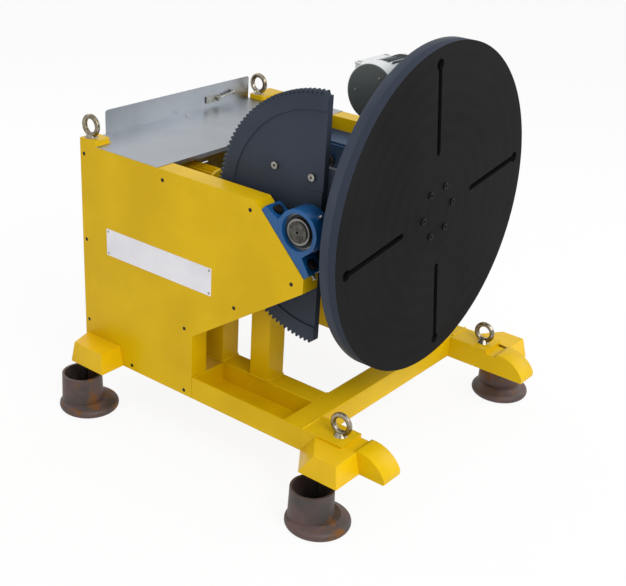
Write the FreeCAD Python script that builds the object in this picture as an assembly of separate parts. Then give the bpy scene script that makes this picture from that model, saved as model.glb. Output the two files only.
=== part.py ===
import FreeCAD, Part

import math
import os

# Free-standing tilting and rotating welding positioner, millimetres.
# X runs across the machine, -Y is the front, +Z is up. The origin lies on the floor, under the
# middle of the outer box. The table stands upright at rest, with its face towards -Y.

V = FreeCAD.Vector
LEFT, RIGHT = -1, 1
SIDES = (LEFT, RIGHT)

# ---------------------------------------------------------------- driving dimensions
# tilt axis, parallel to X
TILT_Y = -325.0
TILT_Z = 1000.0

# general clearances
RUN_GAP = 0.3            # between moving pieces that don't guide each other
RUN_FIT = 0.05           # radial, shaft in its own bearing
SEAT_FIT = 0.1           # radial, fixed pieces in their holes
BOLT_PLAY = 0.3          # radial, bolt shank in a drilled hole

# side frames: box walls on both sides
WALL_OUT_X = 555.0       # outer face of the cover panels
WALL_DEPTH = 80.0        # cover panel included
WALL_PLATE_T = 8.0
PANEL_T = 5.0
WALL_TOP_Z = 1065.0
WALL_REAR_Y = 724.0
WAIST_Y = 138.0          # front edge of the lower column
WAIST_Z = 453.0          # where the lower slope meets the column
NOSE_DROP = 53.0         # upright front edge below the bearing seat
SEAT_PLATE_T = 20.0
PANEL_SCREW_R = 4.0
PANEL_SCREW_HEAD_R = 7.5
SCREW_INSET = 20.0
PANEL_SCREW_HOLE = 25.0   # depth of the tapped holes
PANEL_SCREW_L = 20.0
PANEL_SOCKET_HALF_W = 2.5
PANEL_SOCKET_DEPTH = 2.5
PANEL_BOSS_R = 13.0

# pillow blocks, size 215
BLOCK_CENTRE_H = 82.6
BLOCK_LENGTH = 275.0
BLOCK_WIDTH = 74.0
BLOCK_FOOT_H = 26.0
BLOCK_HEAD_R = 80.0
BLOCK_BOLT_SPACING = 217.0
BLOCK_BOLT_R = 10.0
BLOCK_SPOT_R = 22.0       # spot faces round the bolts
BLOCK_SPOT_H = 40.0
BLOCK_SHOULDER_H = 14.0
NIPPLE_BOSS_R = 9.0
NIPPLE_BOSS_H = 5.0
NIPPLE_R = 3.0
BEARING_OUT_R = 65.0
BEARING_OUT_WALL = 7.5
BEARING_OUT_W = 34.0
BEARING_IN_WALL = 8.5
BEARING_IN_W = 62.0
BALL_R = 7.5
BALL_COUNT = 12
BALL_GAP = 0.15
SHAFT_R = 37.5
SHAFT_END_X = 552.0
SHAFT_FLANGE_R = 74.0
SHAFT_FLANGE_T = 20.0

# base
FLOOR_GAP = 190.0        # underside of the base above the floor
TUBE = 90.0              # square tube of rails, beams and posts
TUBE_WALL = 6.0
RAIL_INNER_X = 290.0
BEAM_REAR_Y = 724.0
TRAY_WALL_T = 8.0
TRAY_FLOOR_T = 8.0
TRAY_FLOOR_LIFT = 8.0
FRONT_BEAM_Y = -396.0    # front face of the front cross beam
CORNER_PLATE_T = 12.0
CORNER_FRONT_Y = -568.0
CORNER_IN_X = 435.0
NOSE_WIDTH = 100.0
NOSE_NOTCH_Y = -613.0
NOSE_NOTCH_DEPTH = 16.0
NOSE_TIP_Y = -740.0
NOSE_TIP_H = 18.0
NOSE_WALL = 8.0

# foot hoods and feet
HOOD_SIDE = 32.0         # outer wall beyond the stud
HOOD_ROOF_SIDE = 19.0
HOOD_ROOF_H = 82.0       # roof above the base's underside
HOOD_T = 3.0
HOOD_NOSE_LAP = 20.0     # front hoods reach this far over the noses
FRONT_HOOD_START = 3.0   # behind the front beam's face
FRONT_HOOD_ROOF_START = 58.0
FRONT_HOOD_BEHIND = 53.0         # behind and ahead of the stud
FRONT_HOOD_AHEAD = 112.0
FRONT_HOOD_ROOF_BEHIND = 1.0
FRONT_HOOD_ROOF_AHEAD = 95.0
REAR_HOOD_BEHIND = 43.0
REAR_HOOD_AHEAD = 137.0
REAR_HOOD_ROOF_BEHIND = 35.0
REAR_HOOD_ROOF_AHEAD = 120.0
REAR_HOOD_ROOF_INSET = 12.0
FOOT_X = 636.0
FRONT_FOOT_Y = -526.0
REAR_FOOT_Y = 647.0
PAD_OFFSET_X = 4.0       # flange's centre from its stud
PAD_OFFSET_Y = -25.0
PAD_R = 118.0
PAD_EDGE_R = 10.0
PAD_EDGE_H = 32.0
PAD_CROWN_R = 80.0
PAD_CROWN_H = 46.0
CUP_OFFSET_X = 18.0      # cup's centre from its stud
CUP_OFFSET_Y = -3.0
CUP_FOOT_R = 83.0
CUP_TOP_R = 79.0
CUP_TOP_Z = 150.0
CUP_MOUTH_R = 70.0
CUP_FLOOR_Z = 60.0
STUD_R = 12.0
STUD_HEX_H = 18.0
STUD_CHAMFER = 2.0
SWIVEL_R = 1.25 * STUD_R
SWIVEL_DEPTH = 12.0      # into the cup's floor
SWIVEL_RISE = 14.0
STUD_GAP = 0.3
FOOT_TRAVEL = 30.0
BRACKET_T = 20.0
BRACKET_WIDTH = 70.0
BRACKET_EDGE = 17.0      # bracket's end beyond its stud
BRACKET_FLANGE_T = 12.0
BRACKET_FLANGE_W = 110.0
BRACKET_FLANGE_H = 66.0
BRACKET_BOLT_R = 6.0
BRACKET_BOLT_INSET = 9.0
LOCK_NUT_H = 18.0
LOCK_NUT_HALF_W = 17.0

# lifting eyes, M24
EYE_RING_R = 45.0
EYE_HOLE_R = 25.0
EYE_COLLAR_R = 25.0
EYE_COLLAR_H = 14.0
EYE_SHANK_R = 12.0
EYE_SHANK_L = 11.0
FRONT_EYE_X = 494.0
FRONT_EYE_Y = -520.0
REAR_EYE_Y = 695.0
REAR_EYE_X = (524.0, 442.0)      # left, right, from the middle plane
TAB_INNER_X = (475.0, 412.0)     # left, right
TAB_T = 20.0
TAB_FRONT_Y = 642.0
TAB_CORNER_R = 14.0
TAB_GAP = 1.0            # between the top cover and the tabs

# covers
COVER_T = 2.0
COVER_FRONT_Y = 315.0
COVER_LIP = 14.0
SCREEN_H = 95.0
SCREEN_X = 417.0
SCREEN_CORNER_R = 12.0
REAR_SHEET_T = 3.0
REAR_SHEET_LOW_Z = 455.0
LOUVRE_COUNT = 6
LOUVRE_PITCH = 28.0
LOUVRE_LENGTH = 320.0
LOUVRE_H = 8.0
SCREEN_REACH = 10.0      # screen's rear face behind the side frames
COVER_SCREW_R = 3.0
COVER_SCREW_HEAD_R = 6.5
COVER_SCREW_HEAD_H = 4.0
COVER_SCREW_INSET = 27.0
TIE_H = 60.0
TIE_WALL = 5.0
LATCH_X = 213.0
LATCH_Z = 1100.0
LATCH_PLATE_L = 70.0
LATCH_PLATE_H = 28.0
LATCH_PLATE_T = 6.0
LATCH_PIN_R = 4.0
LATCH_HUB_R = 12.0
LATCH_HUB_T = 12.0
LATCH_ARM_R = 4.5
LATCH_ARM_L = 90.0
LATCH_ARM_RISE = 12.0
LATCH_TIP_R = 8.5
CONTROL_DEPTH = 150.0
CONTROL_Y = (60.0, 330.0)
CONTROL_Z = (700.0, 1010.0)
GLAND_R = 12.5
PLATE_Y = (47.0, 588.0)
PLATE_Z = (648.0, 756.0)
NAME_PLATE_T = 1.5
RIVET_R = 2.4
RIVET_HEAD_R = 5.0
RIVET_HEAD_H = 1.6
RIVET_INSET = 10.0

# tilting body, offsets forward of the tilt axis
FACE_FORWARD = 196.0
TABLE_R = 600.0
TABLE_T = 30.0
TABLE_DROP = 15.0        # table axis below the tilt axis
RIM_DEPTH = 65.0
RIM_WALL = 15.0
RING_FORWARD = 110.0     # rear of the slewing ring
FRONT_PLATE_T = 30.0
SIDE_PLATE_X = 390.0
SIDE_PLATE_T = 20.0
SIDE_PLATE_HALF_H = 190.0
SIDE_PLATE_REAR = 220.0  # behind the tilt axis
SLOT_TURN = 8.87         # degrees
SLOT_IN_R = 225.0
SLOT_OUT_R = 541.0
SLOT_HALF_W = 11.0
SLOT_ENTRY_R = 20.0
SLOT_HEAD_HALF_W = 20.0  # wider rear part of a slot, for the heads of T-bolts
SLOT_LIP_T = 14.0
TABLE_BOLT_PCR = 94.0
TABLE_BOLT_COUNT = 6
TABLE_BOLT_R = 8.0
TABLE_BOLT_HEAD_R = 12.0
TABLE_BOLT_HEAD_H = 16.0
TABLE_BOLT_SINK = 10.0
TABLE_BOLT_TURN = 60.0
HUB_R = 120.0
HUB_L = 100.0
HUB_PASS_R = 130.0       # hole for the hub in the cradle

# gears
MODULE = 6.0
PRESSURE = math.radians(20.0)
SECTOR_TEETH = 148
SECTOR_OUT_X = 440.0
SECTOR_T = 30.0
SECTOR_STEP_R = 386.0
SECTOR_STEP = 5.0
SECTOR_HUB_R = 112.0
SECTOR_FRONT_EDGE = 9.0  # ahead of the tilt axis
SECTOR_BOLTS = ((196.0, 159.0), (196.0, -159.0), (37.0, 155.0), (37.0, -155.0))  # from the tilt axis
SECTOR_BOLT_R = 8.0
SECTOR_BOLT_HEAD_R = 13.0
SECTOR_BOLT_HEAD_H = 10.0
TILT_PINION_TEETH = 17
TILT_PINION_ANGLE = -20.0
PINION_SHAFT_R = 25.0
PINION_EXTRA_W = 4.0
PINION_BEARING_R = 40.0
PINION_HOUSING_R = 58.0
PINION_BEARING_L = 30.0
BACKLASH = 0.3
RING_TEETH = 92
RING_IN_R = 224.3
RING_SHELF = 6.0
SLEW_BORE_R = 165.0
ROTATION_PINION_TEETH = 18
ROTATION_PINION_X = 110.0
ROTATION_SHAFT_R = 22.5
CROWN_HALF_W = 100.0
CRADLE_DISC_R = 290.0

# drives
GEARBOX_HALF = 90.0
GEARBOX_CENTRES = 110.0
TILT_GEARBOX_X = 375.0   # outer face from the middle plane
TILT_GEARBOX_W = 140.0
POST_FRONT_Y = -91.0
POST_REAR_Y = 139.0
BRIDGE_T = 20.0
MOTOR_R = 80.0
MOTOR_L = 250.0
COWL_L = 60.0
ROT_GEARBOX_W = 155.0
ROT_MOTOR_R = 100.0
ROT_MOTOR_END_X = -195.0
ROT_COWL_L = 55.0
COWL_ROUND = 10.0
WORM_BARREL_R = 55.0
TERMINAL_TOP = 87.0      # above the motor's axis
TERMINAL_LOW = 30.0
TERMINAL_FRONT = 12.0    # behind the motor's axis
TERMINAL_REAR = 76.0

# ---------------------------------------------------------------- places worked out from these
WALL_IN_X = WALL_OUT_X - WALL_DEPTH
BLOCK_X = WALL_OUT_X - WALL_DEPTH / 2
HOOD_OUT_X = FOOT_X + HOOD_SIDE
HOOD_ROOF_OUT_X = FOOT_X + HOOD_ROOF_SIDE
BASE_TOP_Z = FLOOR_GAP + TUBE
REAR_BEAM_Y = BEAM_REAR_Y - TUBE
FRONT_BEAM_REAR_Y = FRONT_BEAM_Y + TUBE
RAIL_OUT_X = RAIL_INNER_X + TUBE
TABLE_Z = TILT_Z - TABLE_DROP
TABLE_FACE_Y = TILT_Y - FACE_FORWARD
TABLE_BACK_Y = TABLE_FACE_Y + TABLE_T
RING_REAR_Y = TILT_Y - RING_FORWARD
FRONT_PLATE_REAR_Y = RING_REAR_Y + FRONT_PLATE_T
SECTOR_PITCH_R = MODULE * SECTOR_TEETH / 2
TILT_CENTRES = MODULE * (SECTOR_TEETH + TILT_PINION_TEETH) / 2
ROTATION_CENTRES = MODULE * (RING_TEETH + ROTATION_PINION_TEETH) / 2
TILT_PINION_Y = TILT_Y + TILT_CENTRES * math.cos(math.radians(TILT_PINION_ANGLE))
TILT_PINION_Z = TILT_Z + TILT_CENTRES * math.sin(math.radians(TILT_PINION_ANGLE))
ROTATION_PINION_Z = TABLE_Z + math.sqrt(ROTATION_CENTRES ** 2 - ROTATION_PINION_X ** 2)
SECTOR_IN_X = SECTOR_OUT_X - SECTOR_T
POST_TOP_Z = TILT_PINION_Z - GEARBOX_HALF - BRIDGE_T
DIAGONAL = math.sqrt(0.5)


# ---------------------------------------------------------------- shape helpers
def box(x_range, y_range, z_range):
    """Rectangular block between two limits on each axis."""
    x_low, x_high = sorted(x_range)
    corner = V(x_low, y_range[0], z_range[0])
    return Part.makeBox(x_high - x_low, y_range[1] - y_range[0], z_range[1] - z_range[0], corner)


def rod(radius, start, end):
    """Solid cylinder from one point to another."""
    axis = end.sub(start)
    return Part.makeCylinder(radius, axis.Length, start, axis)


def ring(outer, inner, start, end):
    """Round tube from one point to another."""
    return rod(outer, start, end).cut(rod(inner, start, end))


def cone(start_radius, end_radius, start, end):
    """Truncated cone from one point to another."""
    axis = end.sub(start)
    return Part.makeCone(start_radius, end_radius, axis.Length, start, axis)


def polygon_face(points):
    """Flat face inside a closed polygon."""
    return Part.Face(Part.makePolygon(points + [points[0]]))


def prism(points, travel):
    """Prism on a closed polygon."""
    return polygon_face(points).extrude(travel)


def side_prism(outline, x_from, x_to):
    """Prism along X on an outline of (y, z) points."""
    return prism([V(x_from, y, z) for y, z in outline], V(x_to - x_from, 0, 0))


def hex_head(flat_radius, start, end):
    """Hexagon prism along any axis, sized by half its width across flats."""
    axis = end.sub(start)
    corner = flat_radius / math.cos(math.pi / 6)
    points = [V(corner * math.cos(k * math.pi / 3), corner * math.sin(k * math.pi / 3), 0)
              for k in range(6)]
    shape = prism(points, V(0, 0, axis.Length))
    shape.Placement = FreeCAD.Placement(start, FreeCAD.Rotation(V(0, 0, 1), axis))
    return shape


def fused(shapes):
    """One solid out of several that touch or overlap."""
    return shapes[0].fuse(shapes[1:]).removeSplitter()


def group(shapes):
    """Separate solids that share one node."""
    return Part.makeCompound(shapes)


def mirrored(shape):
    """The same shape on the other side of the middle plane."""
    return shape.mirror(V(0, 0, 0), V(1, 0, 0))


def on_side(shape, side):
    """A shape that was drawn on the right, put on the wanted side."""
    return shape if side == RIGHT else mirrored(shape)


def tube_y(x_range, y_range, z_low):
    """Square tube along Y."""
    outer = box(x_range, y_range, (z_low, z_low + TUBE))
    x_low, x_high = sorted(x_range)
    inner = box((x_low + TUBE_WALL, x_high - TUBE_WALL), y_range,
                (z_low + TUBE_WALL, z_low + TUBE - TUBE_WALL))
    return outer.cut(inner)


def tilt_point(x, along, rise):
    """A point placed from the tilt axis, along +Y and up."""
    return V(x, TILT_Y + along, TILT_Z + rise)


def seat_point(x, along, height):
    """A point on the 45 degree bearing seat: along it upwards, and out from it to the front."""
    foot_y = TILT_Y + BLOCK_CENTRE_H * DIAGONAL
    foot_z = TILT_Z - BLOCK_CENTRE_H * DIAGONAL
    return V(x, foot_y + (along - height) * DIAGONAL, foot_z + (along + height) * DIAGONAL)


# ---------------------------------------------------------------- gears
def involute(angle):
    """Involute function."""
    return math.tan(angle) - angle


def tooth_half_angle(teeth, radius):
    """Half the tooth's angle at a radius, less half the backlash."""
    pitch_r = MODULE * teeth / 2
    base_r = pitch_r * math.cos(PRESSURE)
    at_pitch = (math.pi * MODULE / 2 - BACKLASH) / 2 / pitch_r
    if radius <= base_r:
        return at_pitch + involute(PRESSURE)
    return at_pitch + involute(PRESSURE) - involute(math.acos(base_r / radius))


def tooth_flank(teeth, root_r, tip_r):
    """Radius and half angle at a few heights of one flank, root first."""
    base_r = MODULE * teeth / 2 * math.cos(PRESSURE)
    start_r = max(root_r, base_r)
    radii = [start_r + (tip_r - start_r) * step / 4 for step in range(5)]
    flank = [(radius, tooth_half_angle(teeth, radius)) for radius in radii]
    if root_r < start_r:
        flank.insert(0, (root_r, tooth_half_angle(teeth, start_r)))
    return flank


def gear_outline(teeth, first, count, phase):
    """Polar points (radius, angle) of some teeth of a gear, with a tooth centred at the phase."""
    pitch_r = MODULE * teeth / 2
    flank = tooth_flank(teeth, pitch_r - 1.25 * MODULE, pitch_r + MODULE)
    points = []
    for index in range(first, first + count):
        centre = phase + index * 2 * math.pi / teeth
        points += [(radius, centre - half) for radius, half in flank]
        points += [(radius, centre + half) for radius, half in reversed(flank)]
    return points


def tilt_gear_face(x, outline, centre_y, centre_z):
    """Flat face across X, from polar points counted from +Y towards +Z."""
    points = [V(x, centre_y + r * math.cos(a), centre_z + r * math.sin(a)) for r, a in outline]
    return polygon_face(points)


def table_gear_face(y, outline, centre_x, centre_z):
    """Flat face across Y, from polar points counted from +X towards +Z."""
    points = [V(centre_x + r * math.cos(a), y, centre_z + r * math.sin(a)) for r, a in outline]
    return polygon_face(points)


# ---------------------------------------------------------------- side frames
def wall_outline():
    """Outline of a side frame as (y, z) points, from the rear top corner forwards."""
    foot_y = TILT_Y + BLOCK_CENTRE_H * DIAGONAL
    foot_z = TILT_Z - BLOCK_CENTRE_H * DIAGONAL
    seat_low_y = foot_y - BLOCK_LENGTH / 2 * DIAGONAL
    seat_low_z = foot_z - BLOCK_LENGTH / 2 * DIAGONAL
    return [
        (WALL_REAR_Y, WALL_TOP_Z),
        (foot_y + WALL_TOP_Z - foot_z, WALL_TOP_Z),
        (seat_low_y, seat_low_z),
        (seat_low_y, seat_low_z - NOSE_DROP),
        (WAIST_Y, WAIST_Z),
        (WAIST_Y, FLOOR_GAP),
        (WALL_REAR_Y, FLOOR_GAP),
    ]


def wall_slab(inset, x_from, x_to):
    """Side frame's outline, drawn in by an inset, as a slab on the right."""
    points = [V(x_from, y, z) for y, z in wall_outline()]
    wire = Part.makePolygon(points + [points[0]])
    if inset:
        wire = wire.makeOffset2D(-inset, 2)
    return Part.Face(wire).extrude(V(x_to - x_from, 0, 0))


def seat_slab(x_from, x_to):
    """Bearing seat plate on the right: it lies flush in the 45 degree edge."""
    outline = wall_outline()
    low_y, low_z = outline[2]
    high_y, high_z = outline[1]
    depth = SEAT_PLATE_T * DIAGONAL
    points = [
        (low_y, low_z),
        (high_y, high_z),
        (high_y + 2 * depth, high_z),
        (low_y, low_z - 2 * depth),
    ]
    return side_prism(points, x_from, x_to)


def panel_screw_places():
    """Screws of a cover panel as (y, z) points, set in from the panel's edges."""
    outline = wall_outline()
    nose_y, nose_z = outline[3]
    rear_y = WALL_REAR_Y - SCREW_INSET
    column_y = WAIST_Y + 2 * SCREW_INSET
    front_y = outline[1][0] + SCREW_INSET
    top_z = WALL_TOP_Z - 2 * SCREW_INSET
    low_z = FLOOR_GAP + SCREW_INSET
    column_z = (low_z + WAIST_Z) / 2
    slope_y = nose_y + (WAIST_Y - nose_y) * 0.6
    slope_z = nose_z + (WAIST_Z - nose_z) * 0.6 + 2.5 * SCREW_INSET
    return [
        (rear_y, top_z),
        ((rear_y + front_y) / 2, top_z),
        (front_y, top_z),
        (rear_y, (top_z + column_z) / 2),
        (nose_y + 2.5 * SCREW_INSET, nose_z + SCREW_INSET),
        (rear_y, column_z),
        (slope_y, slope_z),
        (column_y, WAIST_Z + SCREW_INSET),
        ((rear_y + column_y) / 2 + SCREW_INSET, low_z),
        (column_y, low_z),
    ]


def bracket_boss(x_from, x_to):
    """Solid block in the foot of the side frame, behind the rear foot bracket."""
    half = BRACKET_FLANGE_W / 2
    return box((x_from, x_to), (REAR_FOOT_Y - half, REAR_FOOT_Y + half),
               (FLOOR_GAP, FLOOR_GAP + BRACKET_FLANGE_H))


def bearing_hole_tools(play):
    """Shanks of the block bolts through the seat plate on the right."""
    shapes = []
    for end in SIDES:
        start = seat_point(BLOCK_X, end * BLOCK_BOLT_SPACING / 2, -SEAT_PLATE_T)
        stop = seat_point(BLOCK_X, end * BLOCK_BOLT_SPACING / 2, BLOCK_FOOT_H + 1)
        shapes.append(rod(BLOCK_BOLT_R + play, start, stop))
    return shapes


def side_frame(side):
    """Welded box wall, open on its outer face, with screw bosses for the cover panel."""
    panel_x = WALL_OUT_X - PANEL_T
    shell = wall_slab(0, WALL_IN_X, panel_x)
    shell = shell.cut(wall_slab(WALL_PLATE_T, WALL_IN_X + WALL_PLATE_T, panel_x))
    bosses = []
    for y, z in panel_screw_places():
        bosses.append(rod(PANEL_BOSS_R, V(WALL_IN_X, y, z), V(panel_x, y, z)))
    bosses.append(bracket_boss(WALL_IN_X, panel_x))
    frame = fused([shell] + bosses)
    tools = [rod(PANEL_SCREW_R + BOLT_PLAY, V(panel_x - PANEL_SCREW_HOLE, y, z), V(panel_x, y, z))
             for y, z in panel_screw_places()]
    tools.append(seat_slab(WALL_IN_X, panel_x))
    tools += foot_bolt_tools(REAR_FOOT_Y, panel_x - 30, panel_x, BOLT_PLAY)
    for x, y, z in rear_screw_places():
        if x > 0:
            tools.append(rod(COVER_SCREW_R + BOLT_PLAY, V(x, y - WALL_PLATE_T - 1, z), V(x, y, z)))
    if side == LEFT:
        y, z = TILT_PINION_Y, TILT_PINION_Z
        frame = frame.fuse(rod(PINION_HOUSING_R, V(WALL_IN_X, y, z),
                               V(WALL_IN_X + PINION_BEARING_L, y, z)))
        tools.append(rod(PINION_BEARING_R + SEAT_FIT, V(WALL_IN_X, y, z),
                         V(WALL_IN_X + PINION_BEARING_L, y, z)))
    eye_y, eye_x = REAR_EYE_Y, REAR_EYE_X[0 if side == LEFT else 1]
    if eye_x > WALL_IN_X:
        tools.append(rod(EYE_SHANK_R + BOLT_PLAY, V(eye_x, eye_y, WALL_TOP_Z - WALL_PLATE_T),
                         V(eye_x, eye_y, WALL_TOP_Z)))
    return on_side(frame.cut(tools), side)


def side_panel(side):
    """Flat cover panel, countersunk for its screws."""
    panel_x = WALL_OUT_X - PANEL_T
    panel = wall_slab(0, panel_x, WALL_OUT_X)
    tools = foot_bolt_tools(REAR_FOOT_Y, panel_x, WALL_OUT_X, BOLT_PLAY)
    for y, z in panel_screw_places():
        tools.append(rod(PANEL_SCREW_R + BOLT_PLAY, V(panel_x, y, z), V(WALL_OUT_X, y, z)))
        sink = PANEL_SCREW_HEAD_R - PANEL_SCREW_R
        tools.append(cone(PANEL_SCREW_R + BOLT_PLAY, PANEL_SCREW_HEAD_R + BOLT_PLAY,
                          V(WALL_OUT_X - sink, y, z), V(WALL_OUT_X, y, z)))
    if side == LEFT:
        tools += [rod(RIVET_R + SEAT_FIT, V(panel_x, y, z), V(WALL_OUT_X, y, z))
                  for y, z in rivet_places()]
    return on_side(panel.cut(tools), side)


def panel_screws():
    """Countersunk socket screws of both cover panels."""
    screws = []
    sink = PANEL_SCREW_HEAD_R - PANEL_SCREW_R
    for y, z in panel_screw_places():
        head = cone(PANEL_SCREW_R, PANEL_SCREW_HEAD_R, V(WALL_OUT_X - sink, y, z), V(WALL_OUT_X, y, z))
        shank = rod(PANEL_SCREW_R, V(WALL_OUT_X - PANEL_T - PANEL_SCREW_L, y, z),
                    V(WALL_OUT_X - sink, y, z))
        socket = hex_head(PANEL_SOCKET_HALF_W, V(WALL_OUT_X - PANEL_SOCKET_DEPTH, y, z),
                          V(WALL_OUT_X + 1, y, z))
        screws.append(head.fuse(shank).cut(socket).removeSplitter())
    return group(screws + [mirrored(screw) for screw in screws])


def rivet_places():
    """Rivets of the name plate, one in each corner."""
    return [(y, z) for y in (PLATE_Y[0] + RIVET_INSET, PLATE_Y[1] - RIVET_INSET)
            for z in (PLATE_Z[0] + RIVET_INSET, PLATE_Z[1] - RIVET_INSET)]


def name_plate():
    """Bare plate on the left cover panel."""
    plate = box((-WALL_OUT_X - NAME_PLATE_T, -WALL_OUT_X), PLATE_Y, PLATE_Z)
    holes = []
    for y, z in rivet_places():
        holes.append(rod(RIVET_R + SEAT_FIT, V(-WALL_OUT_X - NAME_PLATE_T, y, z), V(-WALL_OUT_X, y, z)))
    return plate.cut(holes)


def name_plate_rivets():
    """Dome-headed rivets through the name plate."""
    rivets = []
    for y, z in rivet_places():
        face_x = -WALL_OUT_X - NAME_PLATE_T
        shank = rod(RIVET_R, V(face_x, y, z), V(-WALL_OUT_X + PANEL_T, y, z))
        head = cone(RIVET_HEAD_R, RIVET_HEAD_R * 0.5, V(face_x, y, z), V(face_x - RIVET_HEAD_H, y, z))
        rivets.append(shank.fuse(head).removeSplitter())
    return group(rivets)


def bearing_seats():
    """Thick machined plates under the pillow blocks."""
    plate = seat_slab(WALL_IN_X, WALL_OUT_X - PANEL_T).cut(bearing_hole_tools(0.2))
    return group([mirrored(plate), plate])


# ---------------------------------------------------------------- pillow blocks and tilt shafts
def bearing_housing(side):
    """Cast pillow block: two feet, a round head and the bearing's seat."""
    x_from, x_to = BLOCK_X - BLOCK_WIDTH / 2, BLOCK_X + BLOCK_WIDTH / 2
    half = BLOCK_LENGTH / 2
    waist = BLOCK_HEAD_R * 0.96
    shoulder = BLOCK_FOOT_H + BLOCK_SHOULDER_H
    corners = [(-half, 0), (half, 0), (half, BLOCK_FOOT_H), (waist, shoulder),
               (waist, BLOCK_CENTRE_H), (-waist, BLOCK_CENTRE_H), (-waist, shoulder), (-half,
                                                                                       BLOCK_FOOT_H)]
    foot = prism([seat_point(x_from, along, height) for along, height in corners], V(BLOCK_WIDTH, 0, 0))
    head = rod(BLOCK_HEAD_R, tilt_point(x_from, 0, 0), tilt_point(x_to, 0, 0))
    crown = BLOCK_CENTRE_H + BLOCK_HEAD_R
    boss_top = seat_point(BLOCK_X, 0, crown + NIPPLE_BOSS_H)
    boss = rod(NIPPLE_BOSS_R, seat_point(BLOCK_X, 0, BLOCK_CENTRE_H + 0.75 * BLOCK_HEAD_R), boss_top)
    spot_faces = []
    for end in SIDES:
        along = end * BLOCK_BOLT_SPACING / 2
        spot_faces.append(rod(BLOCK_SPOT_R, seat_point(BLOCK_X, along, BLOCK_FOOT_H),
                              seat_point(BLOCK_X, along, BLOCK_FOOT_H + BLOCK_SPOT_H)))
    bore = rod(BEARING_OUT_R, tilt_point(x_from, 0, 0), tilt_point(x_to, 0, 0))
    nipple_hole = rod(NIPPLE_R, seat_point(BLOCK_X, 0, crown - 2 * NIPPLE_R),
                      seat_point(BLOCK_X, 0, crown + 2 * NIPPLE_R))
    housing = fused([foot, head, boss]).cut(spot_faces + [bore, nipple_hole] + bearing_hole_tools(1.0))
    return on_side(housing, side)


def housing_bolts():
    """Hexagon bolts with washers that hold the pillow blocks down."""
    bolts = []
    for end in SIDES:
        along = end * BLOCK_BOLT_SPACING / 2
        shank = rod(BLOCK_BOLT_R, seat_point(BLOCK_X, along, -SEAT_PLATE_T + 2),
                    seat_point(BLOCK_X, along, BLOCK_FOOT_H))
        washer = rod(18.5, seat_point(BLOCK_X, along, BLOCK_FOOT_H),
                     seat_point(BLOCK_X, along, BLOCK_FOOT_H + 3))
        head = hex_head(15.0, seat_point(BLOCK_X, along, BLOCK_FOOT_H + 3),
                        seat_point(BLOCK_X, along, BLOCK_FOOT_H + 15.5))
        bolts.append(fused([shank, washer, head]))
    return group(bolts + [mirrored(bolt) for bolt in bolts])


def grease_nipples():
    """Grease nipple on the head of each pillow block."""
    top = BLOCK_CENTRE_H + BLOCK_HEAD_R + 5
    stem = rod(3.0, seat_point(BLOCK_X, 0, top - 9), seat_point(BLOCK_X, 0, top + 4))
    hexagon = hex_head(5.5, seat_point(BLOCK_X, 0, top), seat_point(BLOCK_X, 0, top + 5))
    tip = cone(4.5, 2.5, seat_point(BLOCK_X, 0, top + 5), seat_point(BLOCK_X, 0, top + 14))
    nipple = fused([stem, hexagon, tip])
    return group([mirrored(nipple), nipple])


def ball_circle_r():
    """Radius of the circle that the bearing balls' centres lie on."""
    inner_r = SHAFT_R + RUN_FIT + BEARING_IN_WALL
    outer_r = BEARING_OUT_R - BEARING_OUT_WALL
    return (inner_r + outer_r) / 2


def raceway(play):
    """Ring-shaped groove that the balls run in, on the right."""
    return Part.makeTorus(ball_circle_r(), BALL_R + play, tilt_point(BLOCK_X, 0, 0), V(1, 0, 0))


def bearing_outer_rings():
    """Outer races, held in the pillow blocks."""
    half = BEARING_OUT_W / 2
    race = ring(BEARING_OUT_R, BEARING_OUT_R - BEARING_OUT_WALL,
                tilt_point(BLOCK_X - half, 0, 0), tilt_point(BLOCK_X + half, 0, 0)).cut(raceway(BALL_GAP))
    return group([mirrored(race), race])


def bearing_inner_rings():
    """Inner races, held on the tilt shafts by set screws."""
    half = BEARING_IN_W / 2
    inner_r = SHAFT_R + RUN_FIT
    race = ring(inner_r + BEARING_IN_WALL, inner_r,
                tilt_point(BLOCK_X - half, 0, 0), tilt_point(BLOCK_X + half, 0, 0)).cut(raceway(RUN_GAP))
    return group([mirrored(race), race])


def bearing_balls():
    """Balls between the races."""
    balls = []
    for index in range(BALL_COUNT):
        angle = 2 * math.pi * index / BALL_COUNT
        centre = tilt_point(BLOCK_X, ball_circle_r() * math.cos(angle), ball_circle_r() * math.sin(angle))
        ball = Part.makeSphere(BALL_R, centre)
        balls += [ball, mirrored(ball)]
    return group(balls)


def bearing_seals():
    """Shields on both sides of each bearing, fast in the outer race."""
    inner_r = SHAFT_R + RUN_FIT + BEARING_IN_WALL + RUN_GAP
    outer_r = BEARING_OUT_R - BEARING_OUT_WALL
    start = BLOCK_X + BEARING_OUT_W / 2
    outer = ring(outer_r, inner_r, tilt_point(start - 5, 0, 0), tilt_point(start - 2, 0, 0))
    gap = 2 * (BLOCK_X - (start - 3.5))
    inner = outer.copy()
    inner.translate(V(gap, 0, 0))
    return group([outer, inner, mirrored(outer), mirrored(inner)])


def tilt_shaft(side):
    """Trunnion: journal through the bearing, with a flange inside the cradle's side plate."""
    journal = rod(SHAFT_R, tilt_point(SIDE_PLATE_X - SHAFT_FLANGE_T, 0, 0), tilt_point(SHAFT_END_X, 0, 0))
    flange = rod(SHAFT_FLANGE_R, tilt_point(SIDE_PLATE_X - SHAFT_FLANGE_T, 0, 0),
                 tilt_point(SIDE_PLATE_X, 0, 0))
    centre_hole = rod(5.0, tilt_point(SHAFT_END_X - 14, 0, 0), tilt_point(SHAFT_END_X, 0, 0))
    return on_side(fused([journal, flange]).cut(centre_hole), side)


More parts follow.
